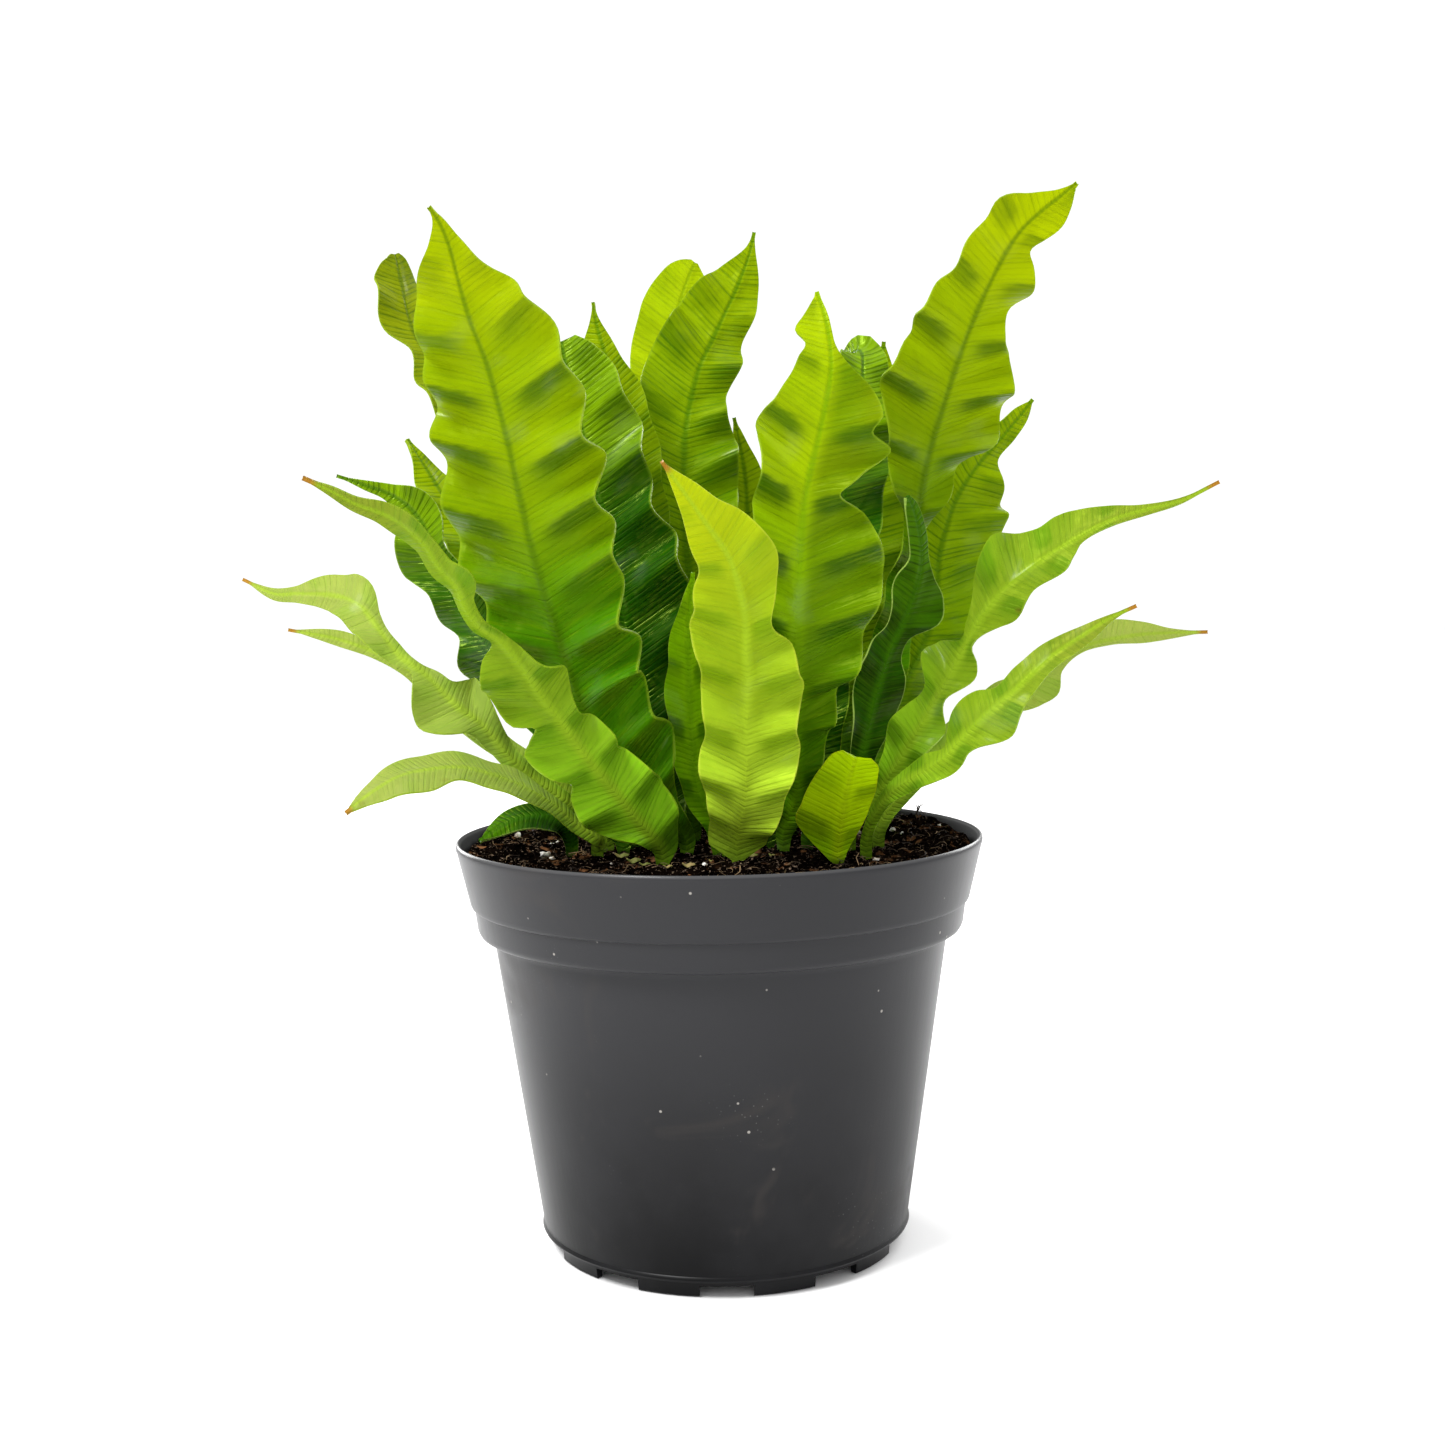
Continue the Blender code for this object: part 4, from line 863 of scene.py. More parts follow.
FRONDS = {
    "frond_tall_left": dict(
        base=(-9, -22),
        rib=((660, 812, -28, 4, 7), (640, 789, -30.5, 9, 14), (622, 765, -33, 12, 17.5),
             (597, 730, -37.5, 14.5, 17), (580, 700, -41, 16, 20.5), (566, 660, -45.5, 17, 19),
             (553, 618, -50, 18, 19.8), (541, 580, -53.5, 19.5, 22.6), (530, 538, -57, 20.8, 21),
             (519, 490, -61, 19.4, 22.6), (508, 440, -65.5, 18.7, 21),
             (498, 400, -68.5, 16.7, 20.8), (487, 362, -72, 16.2, 18.7),
             (470, 318, -76, 13.1, 15.1), (459, 280, -79, 10.2, 8), (449, 244, -82, 4.8, 2.9),
             (438, 219, -84, 1.3, 0.9), (429, 207, -85, 0, 0)),
        turn=(0, -15, -22, -22, -22, -22, -20, -10),
        ripple=(3, 4, 4.5, 4.5, 4.5, 4, 2.5, 0.5), scallop=0.02),
    "frond_curved_low_left": dict(
        base=(-15.5, -32),
        rib=((651, 836, -35.5, 4, 10), (637, 820, -38.5, 10, 12), (617, 795, -43, 12, 11),
             (597, 771, -47.5, 7.5, 8.5),
             (586, 757, -50, 11, 9.4), (576, 743, -52, 13, 8), (565, 729, -54.5, 9.5, 5.8),
             (556, 716, -56.5, 6, 6.2), (548, 706, -58, 10.5, 8.2), (538, 692, -60.5, 12, 9),
             (526, 674, -64, 11.5, 5), (512, 655, -67, 8, 2.8), (499, 640, -69, 2, 2),
             (478, 626, -72, 1.8, 2.4), (464, 605, -75, 1.8, 2.8), (457, 587, -77, 2.2, 5.4),
             (440, 568, -79, 2.8, 3.4), (425, 545, -82, 3, 2.6), (405, 526, -85, 3.2, 3.4),
             (385, 514, -87, 2.8, 2.8), (355, 503, -89, 2, 1.6), (330, 490, -91, 1.2, 1),
             (303, 478, -92, 0, 0)),
        turn=(0, 0, 0, -10, -20, -25, -20, -10),
        ripple=(4.5, 4.5, 4.5, 4.5, 3.5, 3, 2, 0), scallop=0.0),
    "frond_yellow_new": dict(
        base=(5, -33),
        rib=((745, 805, -42), (747, 740, -49), (747, 660, -57), (743, 605, -62), (730, 560, -67),
             (700, 515, -73), (662, 462, -80)),
        left=(7, 8.6, 10.6, 12.6, 11.5, 11.5, 12, 13, 14, 12, 9, 7, 4.5, 2, 0),
        right=(7, 8.8, 10, 12.5, 14, 13, 14.5, 12, 7, 9, 12, 9, 6, 3, 0),
        ripple=(1.5, 2.6, 3.2, 3.2, 2.6, 1.8, 1, 0.4), scallop=0.04),
    "frond_small_behind_yellow": dict(
        base=(0, -20),
        rib=((698, 790, -22), (692, 740, -24), (689, 680, -26), (689, 620, -28), (693, 573, -30)),
        width=6.5, shape=SLIM_SHAPE, ripple=2.5),
    "frond_round_right": dict(
        base=(18, -20),
        rib=((797, 792, -24, 4, 5), (795, 755, -29, 7, 9), (793, 725, -35, 9, 11.5),
             (793, 703, -40, 9.5, 13), (794, 672, -45, 10, 17.5), (796, 630, -50.5, 10, 20),
             (798, 590, -55, 10, 22.5), (800, 555, -57.5, 11, 20), (802, 524, -60, 12.5, 15),
             (805, 496, -61.5, 12.4, 8.4), (809, 476, -63, 13, 13), (814, 455, -64, 15.6, 19.5),
             (819, 434, -65, 14.8, 13), (823, 416, -66, 12.6, 14.4), (828, 390, -67, 9.8, 10.6),
             (831, 366, -67, 8.2, 4), (830, 347, -66, 6, 1.4), (828, 333, -65, 8, 1),
             (825, 318, -64, 5.6, 0.9), (821, 305, -63, 2.8, 0.6), (817, 293, -62, 0, 0)),
        turn=(0, 8, 8, 8),
        ripple=(3, 4.5, 4.5, 4.5, 4, 2, 0), scallop=0.0),
    "frond_young_folded": dict(
        base=(32.5, -30),
        rib=((839, 835, -31.5, 12, 5), (842, 815, -33.5, 11.5, 7), (845, 797, -35.5, 10, 7.8),
             (849, 780, -37.5, 8.4, 7.4), (853, 766, -39.5, 6.6, 6.6), (856, 758, -40.5, 4, 4)),
        turn=(5, 10, 10, 10), ripple=0.8, scallop=0.0),
    "frond_tall_right": dict(
        base=(29, -1),
        rib=((862, 780, -1, 3, 3), (880, 700, -2, 6, 6), (903, 590, -8, 5, 5),
             (912, 545, -14, 3, 3), (917, 515, -19, 4, 5.5), (921, 492, -23, 8.6, 9.4),
             (925, 470, -27, 10.4, 10.4), (931, 444, -32, 13, 16.5),
             (940, 415, -37, 17, 17.4), (948, 389, -41.5, 19, 16.4), (957, 362, -46, 13.5, 14),
             (966, 337, -49.5, 15.4, 9.6), (976, 312, -53.5, 12.4, 8.4), (986, 290, -57, 10, 11.2),
             (997, 268, -60, 10.4, 9.4), (1010, 245, -63.5, 8.6, 5.2), (1022, 229, -65.5, 9.4, 6),
             (1040, 212, -67.5, 5, 6.4), (1058, 198, -70, 2, 4), (1077, 183, -72, 0, 0)),
        turn=(0, 10, 20, 20, 20, 20, 15, 0),
        ripple=(3, 4, 4, 4, 4, 3, 1), scallop=0.0),
    "frond_behind_tall_right": dict(
        base=(27, 9),
        rib=((872, 760, 10, 3, 3), (905, 680, 11, 6, 9), (920, 650, 11.5, 8, 13.5),
             (935, 600, 12, 9, 15.5), (938, 560, 12.5, 10, 18.5), (945, 530, 13, 10.5, 18),
             (955, 500, 14, 10.5, 15.8), (970, 475, 15, 9, 11.5), (986, 454, 16, 6, 4.5),
             (1005, 433, 17, 3.6, 3.4), (1020, 415, 18, 2.4, 2.6), (1032, 400, 19, 0, 0)),
        turn=(0, 10, 15, 20, 20, 20, 20, 10),
        ripple=(2, 3, 3, 3, 2.5, 1), scallop=0.0),
    "frond_dark_cup_right": dict(
        base=(25, -13),
        rib=((858, 780, -15, 2.5, 3), (864, 745, -15.5, 4, 5), (872, 710, -16, 6, 8),
             (880, 680, -16.5, 7, 7), (888, 655, -17, 6, 4), (897, 635, -17.5, 4, 4),
             (905, 618, -18, 5, 9.6), (912, 600, -19, 6.5, 9), (918, 580, -21, 6, 4.5),
             (921, 560, -24, 3.6, 2.2), (920, 540, -27, 3.2, 2.2), (916, 520, -29.5, 2.8, 2),
             (911, 505, -31, 2, 1.6), (907, 497, -32, 0.6, 0.6)),
        turn=(0, 10, 20, 20, 20, 30),
        ripple=(3, 3.6, 3.6, 3, 1.5, 1), scallop=0.0),
    "frond_arching_right": dict(
        base=(37, -14),
        rib=((880, 790, -18, 2, 2), (893, 772, -22, 5, 3), (908, 748, -26, 8, 5.2),
             (922, 725, -29.5, 7, 6), (938, 698, -31.5, 4.8, 2.2), (950, 676, -33, 10, 6),
             (959, 659, -33.2, 8, 4.8), (966, 645, -33.5, 2, 1.8), (976, 626, -34, 3.4, 4.2),
             (990, 606, -35, 8.4, 8), (1004, 590, -35.5, 11.5, 7.4), (1020, 576, -36, 12.8, 5.2),
             (1048, 556, -37, 8, 6.4), (1064, 546, -37.5, 8, 4), (1078, 538, -38, 7.8, 1.6),
             (1110, 521, -40, 4, 1.5), (1145, 510, -41, 1.4, 1.5), (1180, 501, -43, 0.8, 0.8),
             (1219, 482, -45, 0, 0)),
        turn=(0, -5, -15, -20, -20, -20, -10, 0),
        ripple=(4, 4.5, 5, 5, 4, 3, 1.5, 0), scallop=0.0),
    "frond_low_right": dict(
        base=(41, -22),
        rib=((882, 804, -30, 1.8, 1.8), (905, 783, -39, 3.2, 3), (930, 768, -46, 3.8, 4.2),
             (948, 755, -50, 2.4, 4.6), (957, 745, -51.5, 5, 4.2), (967, 734, -53, 7, 5.6),
             (985, 717, -56, 7.4, 8.2), (1003, 701, -57.5, 4, 6.2), (1025, 681, -59, 4.6, 3.6),
             (1045, 662, -60, 4.2, 3), (1065, 647, -61, 3.2, 3), (1088, 632, -62, 2, 2.3),
             (1110, 618, -62.5, 0.8, 1), (1136, 606, -63, 0, 0)),
        turn=(0, -10, -15, -20, -20, -20, -10, 0),
        ripple=(2, 3, 4, 4, 3, 2, 1, 0), scallop=0.0),
    "frond_behind_low_right": dict(
        base=(46, -4),
        rib=((915, 780, -5, 3, 3), (950, 745, -5, 5, 5), (985, 718, -5, 6, 6),
             (1005, 702, -5, 6, 5), (1022, 690, -4.5, 5, 6.4), (1036, 679, -4, 5, 7.6),
             (1054, 664, -4, 4.6, 3), (1080, 648, -4, 3, 1.4), (1110, 640, -5, 5.6, 1.4),
             (1140, 635, -6.5, 3.8, 2.4), (1170, 633, -8, 1.3, 1.6), (1207, 632, -9, 0, 0)),
        turn=(0, -10, -15, -15, -15, -15, -10, 0),
        ripple=(3, 4, 4, 3.5, 2, 1, 0), scallop=0.0),
    "frond_striped_right": dict(
        base=(19, 4),
        rib=((838, 760, 4), (845, 680, 4), (855, 600, 4), (866, 520, 3), (875, 440, 2),
             (884, 342, 1)),
        width=13, ripple=3.0),
    "frond_curled_behind_round": dict(
        base=(14, -8),
        rib=((812, 760, -8), (820, 660, -11), (832, 560, -15), (848, 460, -17), (862, 385, -16),
             (860, 352, -10), (848, 358, -3)),
        width=12, shape=(0.3, 0.5, 0.7, 0.9, 1.0, 1.0, 0.8, 0.2),
        turn=(0, 10, 15, 15), ripple=3.0),
    "frond_slim_centre_back": dict(
        base=(9, 20),
        rib=((742, 760, 26), (746, 680, 29), (747, 600, 31), (748, 520, 33), (742, 455, 34),
             (734, 418, 34)),
        width=8, ripple=2.0),
    "frond_striped_centre": dict(
        base=(2, 3),
        rib=((722, 800, 4, 3, 3), (705, 700, 6, 8, 8), (694, 620, 8, 10, 11),
             (686, 540, 9, 12, 15), (684, 492, 10, 13, 16), (684, 452, 11.5, 14, 15.4),
             (687, 420, 13, 15, 11.6), (692, 394, 14, 15.5, 10), (702, 361, 15.5, 14.5, 11.4),
             (714, 336, 17, 13.4, 8.4), (726, 311, 18.5, 11.6, 8.4), (739, 282, 20, 7, 5.8),
             (750, 252, 21.5, 1.8, 1.6), (754, 233, 22, 0, 0)),
        ripple=(3, 3.4, 3.4, 3.4, 3, 1.5), scallop=0.0),
    "frond_light_back": dict(
        base=(-4, 27),
        rib=((700, 700, 42, 3, 3), (688, 560, 50, 8, 8), (672, 440, 55, 11, 11),
             (668, 385, 57, 12, 12), (672, 338, 58.5, 12, 12), (680, 303, 59.5, 10.4, 9.5),
             (687, 281, 60, 7.6, 6.2), (692, 269, 60, 4.4, 3), (695, 263, 60, 1.5, 0.8)),
        ripple=(3, 3, 3, 2.5, 1), scallop=0.02),
    "frond_narrow_centre": dict(
        base=(-7, -4),
        rib=((690, 780, -5, 3, 3), (672, 680, -5, 5, 5), (658, 580, -4, 6, 6),
             (645, 500, -3, 6.5, 6), (634, 440, -2, 6.5, 6.6), (620, 392, -1.5, 6, 5.8),
             (604, 350, -1, 5.5, 3.2), (596, 322, -0.5, 1.8, 1.2), (593, 303, 0, 0, 0)),
        ripple=2.2),
    "frond_dark_behind_tall_left": dict(
        base=(-13, -13),
        rib=((668, 790, -13, 4, 6), (650, 720, -14, 9, 14), (634, 650, -15, 11, 18),
             (618, 585, -17, 10, 19.5), (603, 520, -19, 9, 15), (594, 480, -20.5, 8, 16),
             (583, 430, -22, 8, 15), (572, 385, -23, 7, 12), (565, 358, -22.5, 5, 8.5),
             (562, 342, -22, 2, 4)),
        turn=(0, -10, -15, -15, -15),
        ripple=(4, 4, 4, 3.5, 3, 1.5), scallop=0.03),
    "frond_left_behind_tall": dict(
        base=(-18, 11),
        rib=((640, 780, 16), (580, 690, 22), (520, 610, 27), (470, 540, 31), (432, 480, 34),
             (407, 440, 36)),
        width=11, turn=(0, 20, 35, 35, 35), ripple=3.0),
    "frond_olive_back_left": dict(
        base=(-12, 21),
        rib=((640, 720, 34, 3, 3), (570, 590, 44, 8, 8), (490, 450, 54, 10, 10),
             (440, 375, 58, 8, 10), (422, 350, 60, 4, 10), (413, 333, 61, 8.5, 9),
             (408, 318, 62, 10, 8.5), (404, 302, 62.5, 9.8, 8), (401, 287, 63, 8.8, 6.8),
             (398, 273, 63.5, 6.6, 5.2), (396, 262, 64, 4, 3.4), (394, 255, 64, 1.5, 1.5)),
        turn=(0, 20, 35, 35, 35),
        ripple=2.5, scallop=0.02),
    "frond_lobed_left": dict(
        base=(-24, -9),
        rib=((632, 810, -9, 2, 2), (580, 757, -7, 4, 5), (530, 702, -6, 7, 8),
             (508, 675, -6, 8, 9), (494, 657, -5, 10.5, 10), (478, 634, -5, 5.6, 10),
             (468, 617, -5, 8.5, 9), (452, 590, -5, 6.6, 7), (443, 571, -5, 11.6, 5),
             (434, 552, -5, 11, 4), (424, 526, -5.5, 8, 6), (411, 508, -6.5, 4.6, 6),
             (390, 494, -7.5, 2.2, 2.8), (365, 485, -9, 1.3, 1.3), (337, 476, -10, 0, 0)),
        turn=(0, 0, -10, -15, -20, -20, -15, 0),
        ripple=(3, 4, 4.5, 4.5, 4, 3, 1.5, 0), scallop=0.0),
    "frond_arching_left": dict(
        base=(-32, -4),
        rib=((590, 815, -8, 2, 2), (565, 800, -11, 2.4, 2.4), (540, 783, -13, 2.6, 2.6),
             (512, 760, -16, 3, 3), (495, 740, -18, 3.4, 4), (480, 724, -19, 5, 6),
             (462, 710, -20, 10.5, 11), (446, 696, -20, 10, 4.5), (430, 680, -20, 6, 3),
             (415, 667, -20, 1.6, 1.6), (398, 655, -18, 3.4, 2.4), (384, 638, -17, 6, 2.2),
             (372, 620, -14, 6.3, 3), (356, 604, -11, 6.2, 7.4), (334, 596, -7, 4.4, 6.6),
             (300, 594, -3, 2.6, 2.5), (275, 594, 2, 1.8, 1.6), (244, 580, 6, 0, 0)),
        turn=(0, 0, 10, 15, 15, 15, 10, 0),
        ripple=(2, 2.5, 4, 5, 4, 3.5, 1.5, 0), scallop=0.0),
    "frond_thin_left": dict(
        base=(-29, 4),
        rib=((590, 810, 8, 2, 2), (530, 765, 12, 3, 3), (480, 730, 15, 4.4, 4.4),
             (440, 694, 17, 4, 4.4), (412, 672, 19, 2.4, 2.4), (378, 654, 21, 1.8, 2.4),
             (340, 640, 22, 2, 2.8), (289, 630, 23, 0, 0)),
        turn=(0, 15, 20, 20, 15, 0),
        ripple=(2, 3, 3, 1.5, 0.5, 0), scallop=0.0),
    "frond_low_left": dict(
        base=(-34, -21),
        rib=((600, 842, -26, 2, 2), (575, 824, -30, 2.4, 2.4), (550, 803, -34, 3, 3),
             (520, 786, -38, 5, 5.2), (490, 775, -42, 4.8, 5.8), (460, 769, -46, 4.8, 6.4),
             (430, 771, -50, 7.2, 6.8), (400, 778, -54, 7, 5.4), (375, 792, -57, 3.4, 3.4),
             (346, 813, -60, 0, 0)),
        turn=(0, 20, 40, 50, 50, 50, 45, 20),
        ripple=1.2, scallop=0.0),
    "frond_small_olive_left": dict(
        base=(-42, -11),
        rib=((562, 823, -15), (540, 816, -19), (515, 820, -22), (480, 841, -27)),
        width=4.6, shape=SLIM_SHAPE,
        turn=(0, 30, 40, 20),
        ripple=0.4, scallop=0.02),
    "frond_small_dark_left": dict(
        base=(-27, -15),
        rib=((607, 820, -16), (592, 804, -17), (575, 792, -18)),
        width=5, shape=SLIM_SHAPE, ripple=1.2),
}

print("fronds that are seen:", len(FRONDS))

# %% [markdown]
# ## The far side
# The picture doesn't show the fronds behind, so they follow one plain rule. Each leaves its base
# at lean_from degrees off the upright, leans over to lean_to at its tip, and points to its own
# compass angle (0 is +X, 90 is straight back).

# %% Fronds of the far side
BACK_FRONDS = {
    "frond_back_right_low": dict(
        base=(39, 14), angle=38, length=72, lean_from=24, lean_to=60, width=9, ripple=2.6),
    "frond_back_right": dict(
        base=(31, 21), angle=46, length=100, lean_from=20, lean_to=54, width=12, ripple=3.0),
    "frond_back_centre_right": dict(
        base=(18, 32), angle=79, length=97, lean_from=16, lean_to=58, width=13, ripple=3.2),
    "frond_back_centre": dict(
        base=(4, 35), angle=92, length=85, lean_from=22, lean_to=70, width=12, ripple=3.0),
    "frond_back_centre_left": dict(
        base=(-10, 33), angle=110, length=97, lean_from=16, lean_to=58, width=13, ripple=3.2),
    "frond_back_left": dict(
        base=(-22, 26), angle=136, length=100, lean_from=20, lean_to=56, width=12, ripple=3.0),
    "frond_back_left_low": dict(
        base=(-32, 20), angle=152, length=74, lean_from=24, lean_to=58, width=9, ripple=2.4),
    "frond_back_inner_right": dict(
        base=(22, 14), angle=48, length=112, lean_from=8, lean_to=30, width=11, ripple=2.8),
    "frond_back_inner_left": dict(
        base=(-8, 13), angle=118, length=92, lean_from=12, lean_to=26, width=9, ripple=2.4),
}
print("fronds behind:", len(BACK_FRONDS))

# %% [markdown]
# ## Curves and widths
# A rib is a smooth curve through its few given places, and a width or a twist is a smooth value
# between its few numbers. Ripples are closer together near the soil and settle at one length
# higher up.

# %% Curves
CURVE_STEPS = 16


def between(t, step, start, end, leaving, arriving):
    """The smooth value at t from 0 to 1, between two values with a slope at each."""
    plain = (1 + 2 * t) * (1 - t) ** 2 * start + t * t * (3 - 2 * t) * end
    return plain + step * (t * (1 - t) ** 2 * leaving + t * t * (t - 1) * arriving)


def smooth_curve(points):
    """Close points along a smooth curve that goes through the given ones."""
    knots = np.array(points, dtype=float)
    steps = np.linalg.norm(np.diff(knots, axis=0), axis=1)
    slopes = np.diff(knots, axis=0) / steps[:, None]
    bends = np.empty_like(knots)
    bends[0] = slopes[0]
    bends[-1] = slopes[-1]
    weight = steps[1:, None] / (steps[1:, None] + steps[:-1, None])
    bends[1:-1] = weight * slopes[:-1] + (1 - weight) * slopes[1:]
    curve = []
    for i, step in enumerate(steps):
        for t in np.arange(CURVE_STEPS) / CURVE_STEPS:
            curve.append(between(t, step, knots[i], knots[i + 1], bends[i], bends[i + 1]))
    curve.append(knots[-1])
    return np.array(curve)


def value_along(values, share, places=None):
    """A smooth value at a share from 0 to 1, between ones given at places or at even steps."""
    if places is None:
        places = np.linspace(0.0, 1.0, len(values))
    last = len(values) - 1
    i = min(max(int(np.searchsorted(places, share)) - 1, 0), last - 1)
    step = places[i + 1] - places[i]
    t = min(max((share - places[i]) / step, 0.0), 1.0)
    before = max(i - 1, 0)
    after = min(i + 2, last)
    leaving = (values[i + 1] - values[before]) / (places[i + 1] - places[before])
    arriving = (values[after] - values[i]) / (places[after] - places[i])
    return between(t, step, values[i], values[i + 1], leaving, arriving)


print("half way between 0, 4 and 5:", value_along((0, 4, 5), 0.5))

# %% Ribs, widths and ripples
STALK_HALF_WIDTH = 1.6 * MM
STALK_STRAIGHT = 3 * MM
TIP_HALF_WIDTH = 0.5 * MM
RIPPLE_AT_BASE = 12 * MM
RIPPLE_AT_MIDDLE = 17 * MM
RIPPLE_SETTLES = 40 * MM
FAR_RIB_STEPS = 6


def rib_points(plan):
    """The rib's guide points above the soil, and the way that the blade's back faces."""
    x, y = np.array(plan["base"]) * MM
    ground = soil_height(x, y)
    start = [(x, y, ground), (x, y, ground + STALK_STRAIGHT)]
    if "rib" in plan:
        seen = [on_sight_line(px, py, depth * MM) for px, py, depth, *_ in plan["rib"]]
        return np.array(start + seen), None
    angle = math.radians(plan["angle"])
    outward = np.array([math.cos(angle), math.sin(angle), 0.0])
    point = np.array(start[-1])
    points = list(start)
    for i in range(FAR_RIB_STEPS):
        share = (i + 0.5) / FAR_RIB_STEPS
        lean = math.radians(plan["lean_from"] + share * (plan["lean_to"] - plan["lean_from"]))
        rise = np.array([0.0, 0.0, math.cos(lean)])
        point = point + (outward * math.sin(lean) + rise) * plan["length"] * MM / FAR_RIB_STEPS
        points.append(tuple(point))
    return np.array(points), -outward


def ripple_phase(length):
    """How many ripples lie between the soil and a place along the rib."""
    short = 1 / RIPPLE_AT_BASE
    full = 1 / RIPPLE_AT_MIDDLE
    reach = RIPPLE_SETTLES
    if length < reach:
        return length * short + (full - short) * length * length / (2 * reach)
    return reach * (short + full) / 2 + (length - reach) * full


def width_rule(plan, side, knots):
    """Half widths of the blade's left (0) or right (1) side, and the shares where they hold."""
    if "rib" in plan and len(plan["rib"][0]) > 3:
        widths = [STALK_HALF_WIDTH / MM] + [point[3 + side] for point in plan["rib"]]
        return widths, np.concatenate([[0.0], knots[2:]])
    if "left" in plan:
        return plan[("left", "right")[side]], None
    return [share * plan["width"] for share in plan.get("shape", PLAIN_SHAPE)], None


def half_width(rule, share):
    """Half width of the blade at a share of its length."""
    widths, places = rule
    return max(value_along(widths, share, places) * MM, TIP_HALF_WIDTH)


print("ripples on a rib of 150 mm:", round(ripple_phase(150 * MM), 1))

# %% [markdown]
# ## Blade
# A frond's blade is one sheet. It starts as a plain grid, with its long side along the rib, and
# each of its points is laid on the frond: out from the rib by its share of the half width, a
# little further up the blade the nearer it is to the margin, and lifted by the ripple, which
# grows from nothing at the rib. The grid is closer near the rib, where the blade thickens to a
# rounded rib. Solidify then gives the sheet its two faces. Some numbers stay on the mesh for the
# finish: the share from rib to margin, the share from soil to tip, how shaded the fold is, and
# the place along and across the blade, as its UV map. A fold is darkest just under its crest,
# where it faces down, and lightens evenly towards the hollow below.

# %% Waves and rows
WANDER_PER_RIPPLE = 0.55
NOISE_TO_ONE = 1.8
HOLLOW = math.radians(75)
UNDER_CREST = math.radians(235)
CREST = math.radians(262)
CREST_TOP = math.radians(292)
SHORT_STEP = 0.5 * MM
FEWEST_ROWS = 12
LENGTH_TABLE = 800


def wander(seed, phase):
    """Slow random change from -1 to 1 along a blade."""
    return noise.noise(Vector((phase * WANDER_PER_RIPPLE, seed * 7.31, 2.7))) * NOISE_TO_ONE


def fold_shade(swing):
    """How shaded a place is at this angle of its wave, from 0 to 1."""
    angle = swing % (2 * math.pi)
    return smooth_step(HOLLOW, UNDER_CREST, angle) * (1 - smooth_step(CREST, CREST_TOP, angle))


def row_lengths(total, per_ripple):
    """The lengths along the rib where a blade's rows lie, closer together where it ripples more."""
    count = max(FEWEST_ROWS, round(ripple_phase(total) * per_ripple))
    many = np.linspace(0.0, total, LENGTH_TABLE)
    phases = np.array([ripple_phase(length) for length in many])
    lengths = np.interp(np.linspace(0.0, phases[-1], count + 1), phases, many)
    return lengths[lengths > STALK_STRAIGHT * 0.8]


def rib_frame(at, length, back, turn):
    """At a length of the rib: its place, and the ways along, across and out of the blade."""
    rib, ahead, behind = at(length), at(length + SHORT_STEP), at(length - SHORT_STEP)
    along = (ahead - behind) / np.linalg.norm(ahead - behind)
    away = (rib - EYE) if back is None else back
    away = away - along * np.dot(away, along)
    away = away / np.linalg.norm(away)
    across = np.cross(away, along) * math.cos(turn) + away * math.sin(turn)
    return rib, along, across, np.cross(along, across)


print("rows on a rib of 150 mm:", len(row_lengths(150 * MM, 14)))

# %% Blade sheet
ACROSS = (0.0, 0.035, 0.075, 0.14, 0.24, 0.36, 0.48, 0.6, 0.72, 0.83, 0.92, 1.0)
BURIED = 7 * MM
STALK_FADE = 0.2
STALK_FILL = 0.6
RIB_REACH = 2.2 * MM
RIB_ROUNDING = 0.7
FULL_WIDTH = 14 * MM
RIPPLE_RISE = math.radians(14)
RIPPLE_LAG = math.tan(math.radians(12))
RIGHT_MARGIN_LEAD = 0.6
UNEVEN_BEAT = 0.5
UNEVEN_SWELL = 0.3
SHARP_CREST = 0.3
MARGIN_LIFT = 1.15
SCALLOP_LEAD = 0.9
PLAIN_SCALLOP = 0.07
FOLD_PLAIN = 0.45
FOLD_FOR_RIPPLE = 0.2
FOLD_UNEVEN = 0.35
FOLD_FROM_RIB = 0.55
TIP_FADE = 0.5
TIP_FADE_FROM = 0.6
TIP_FADE_TO = 0.95


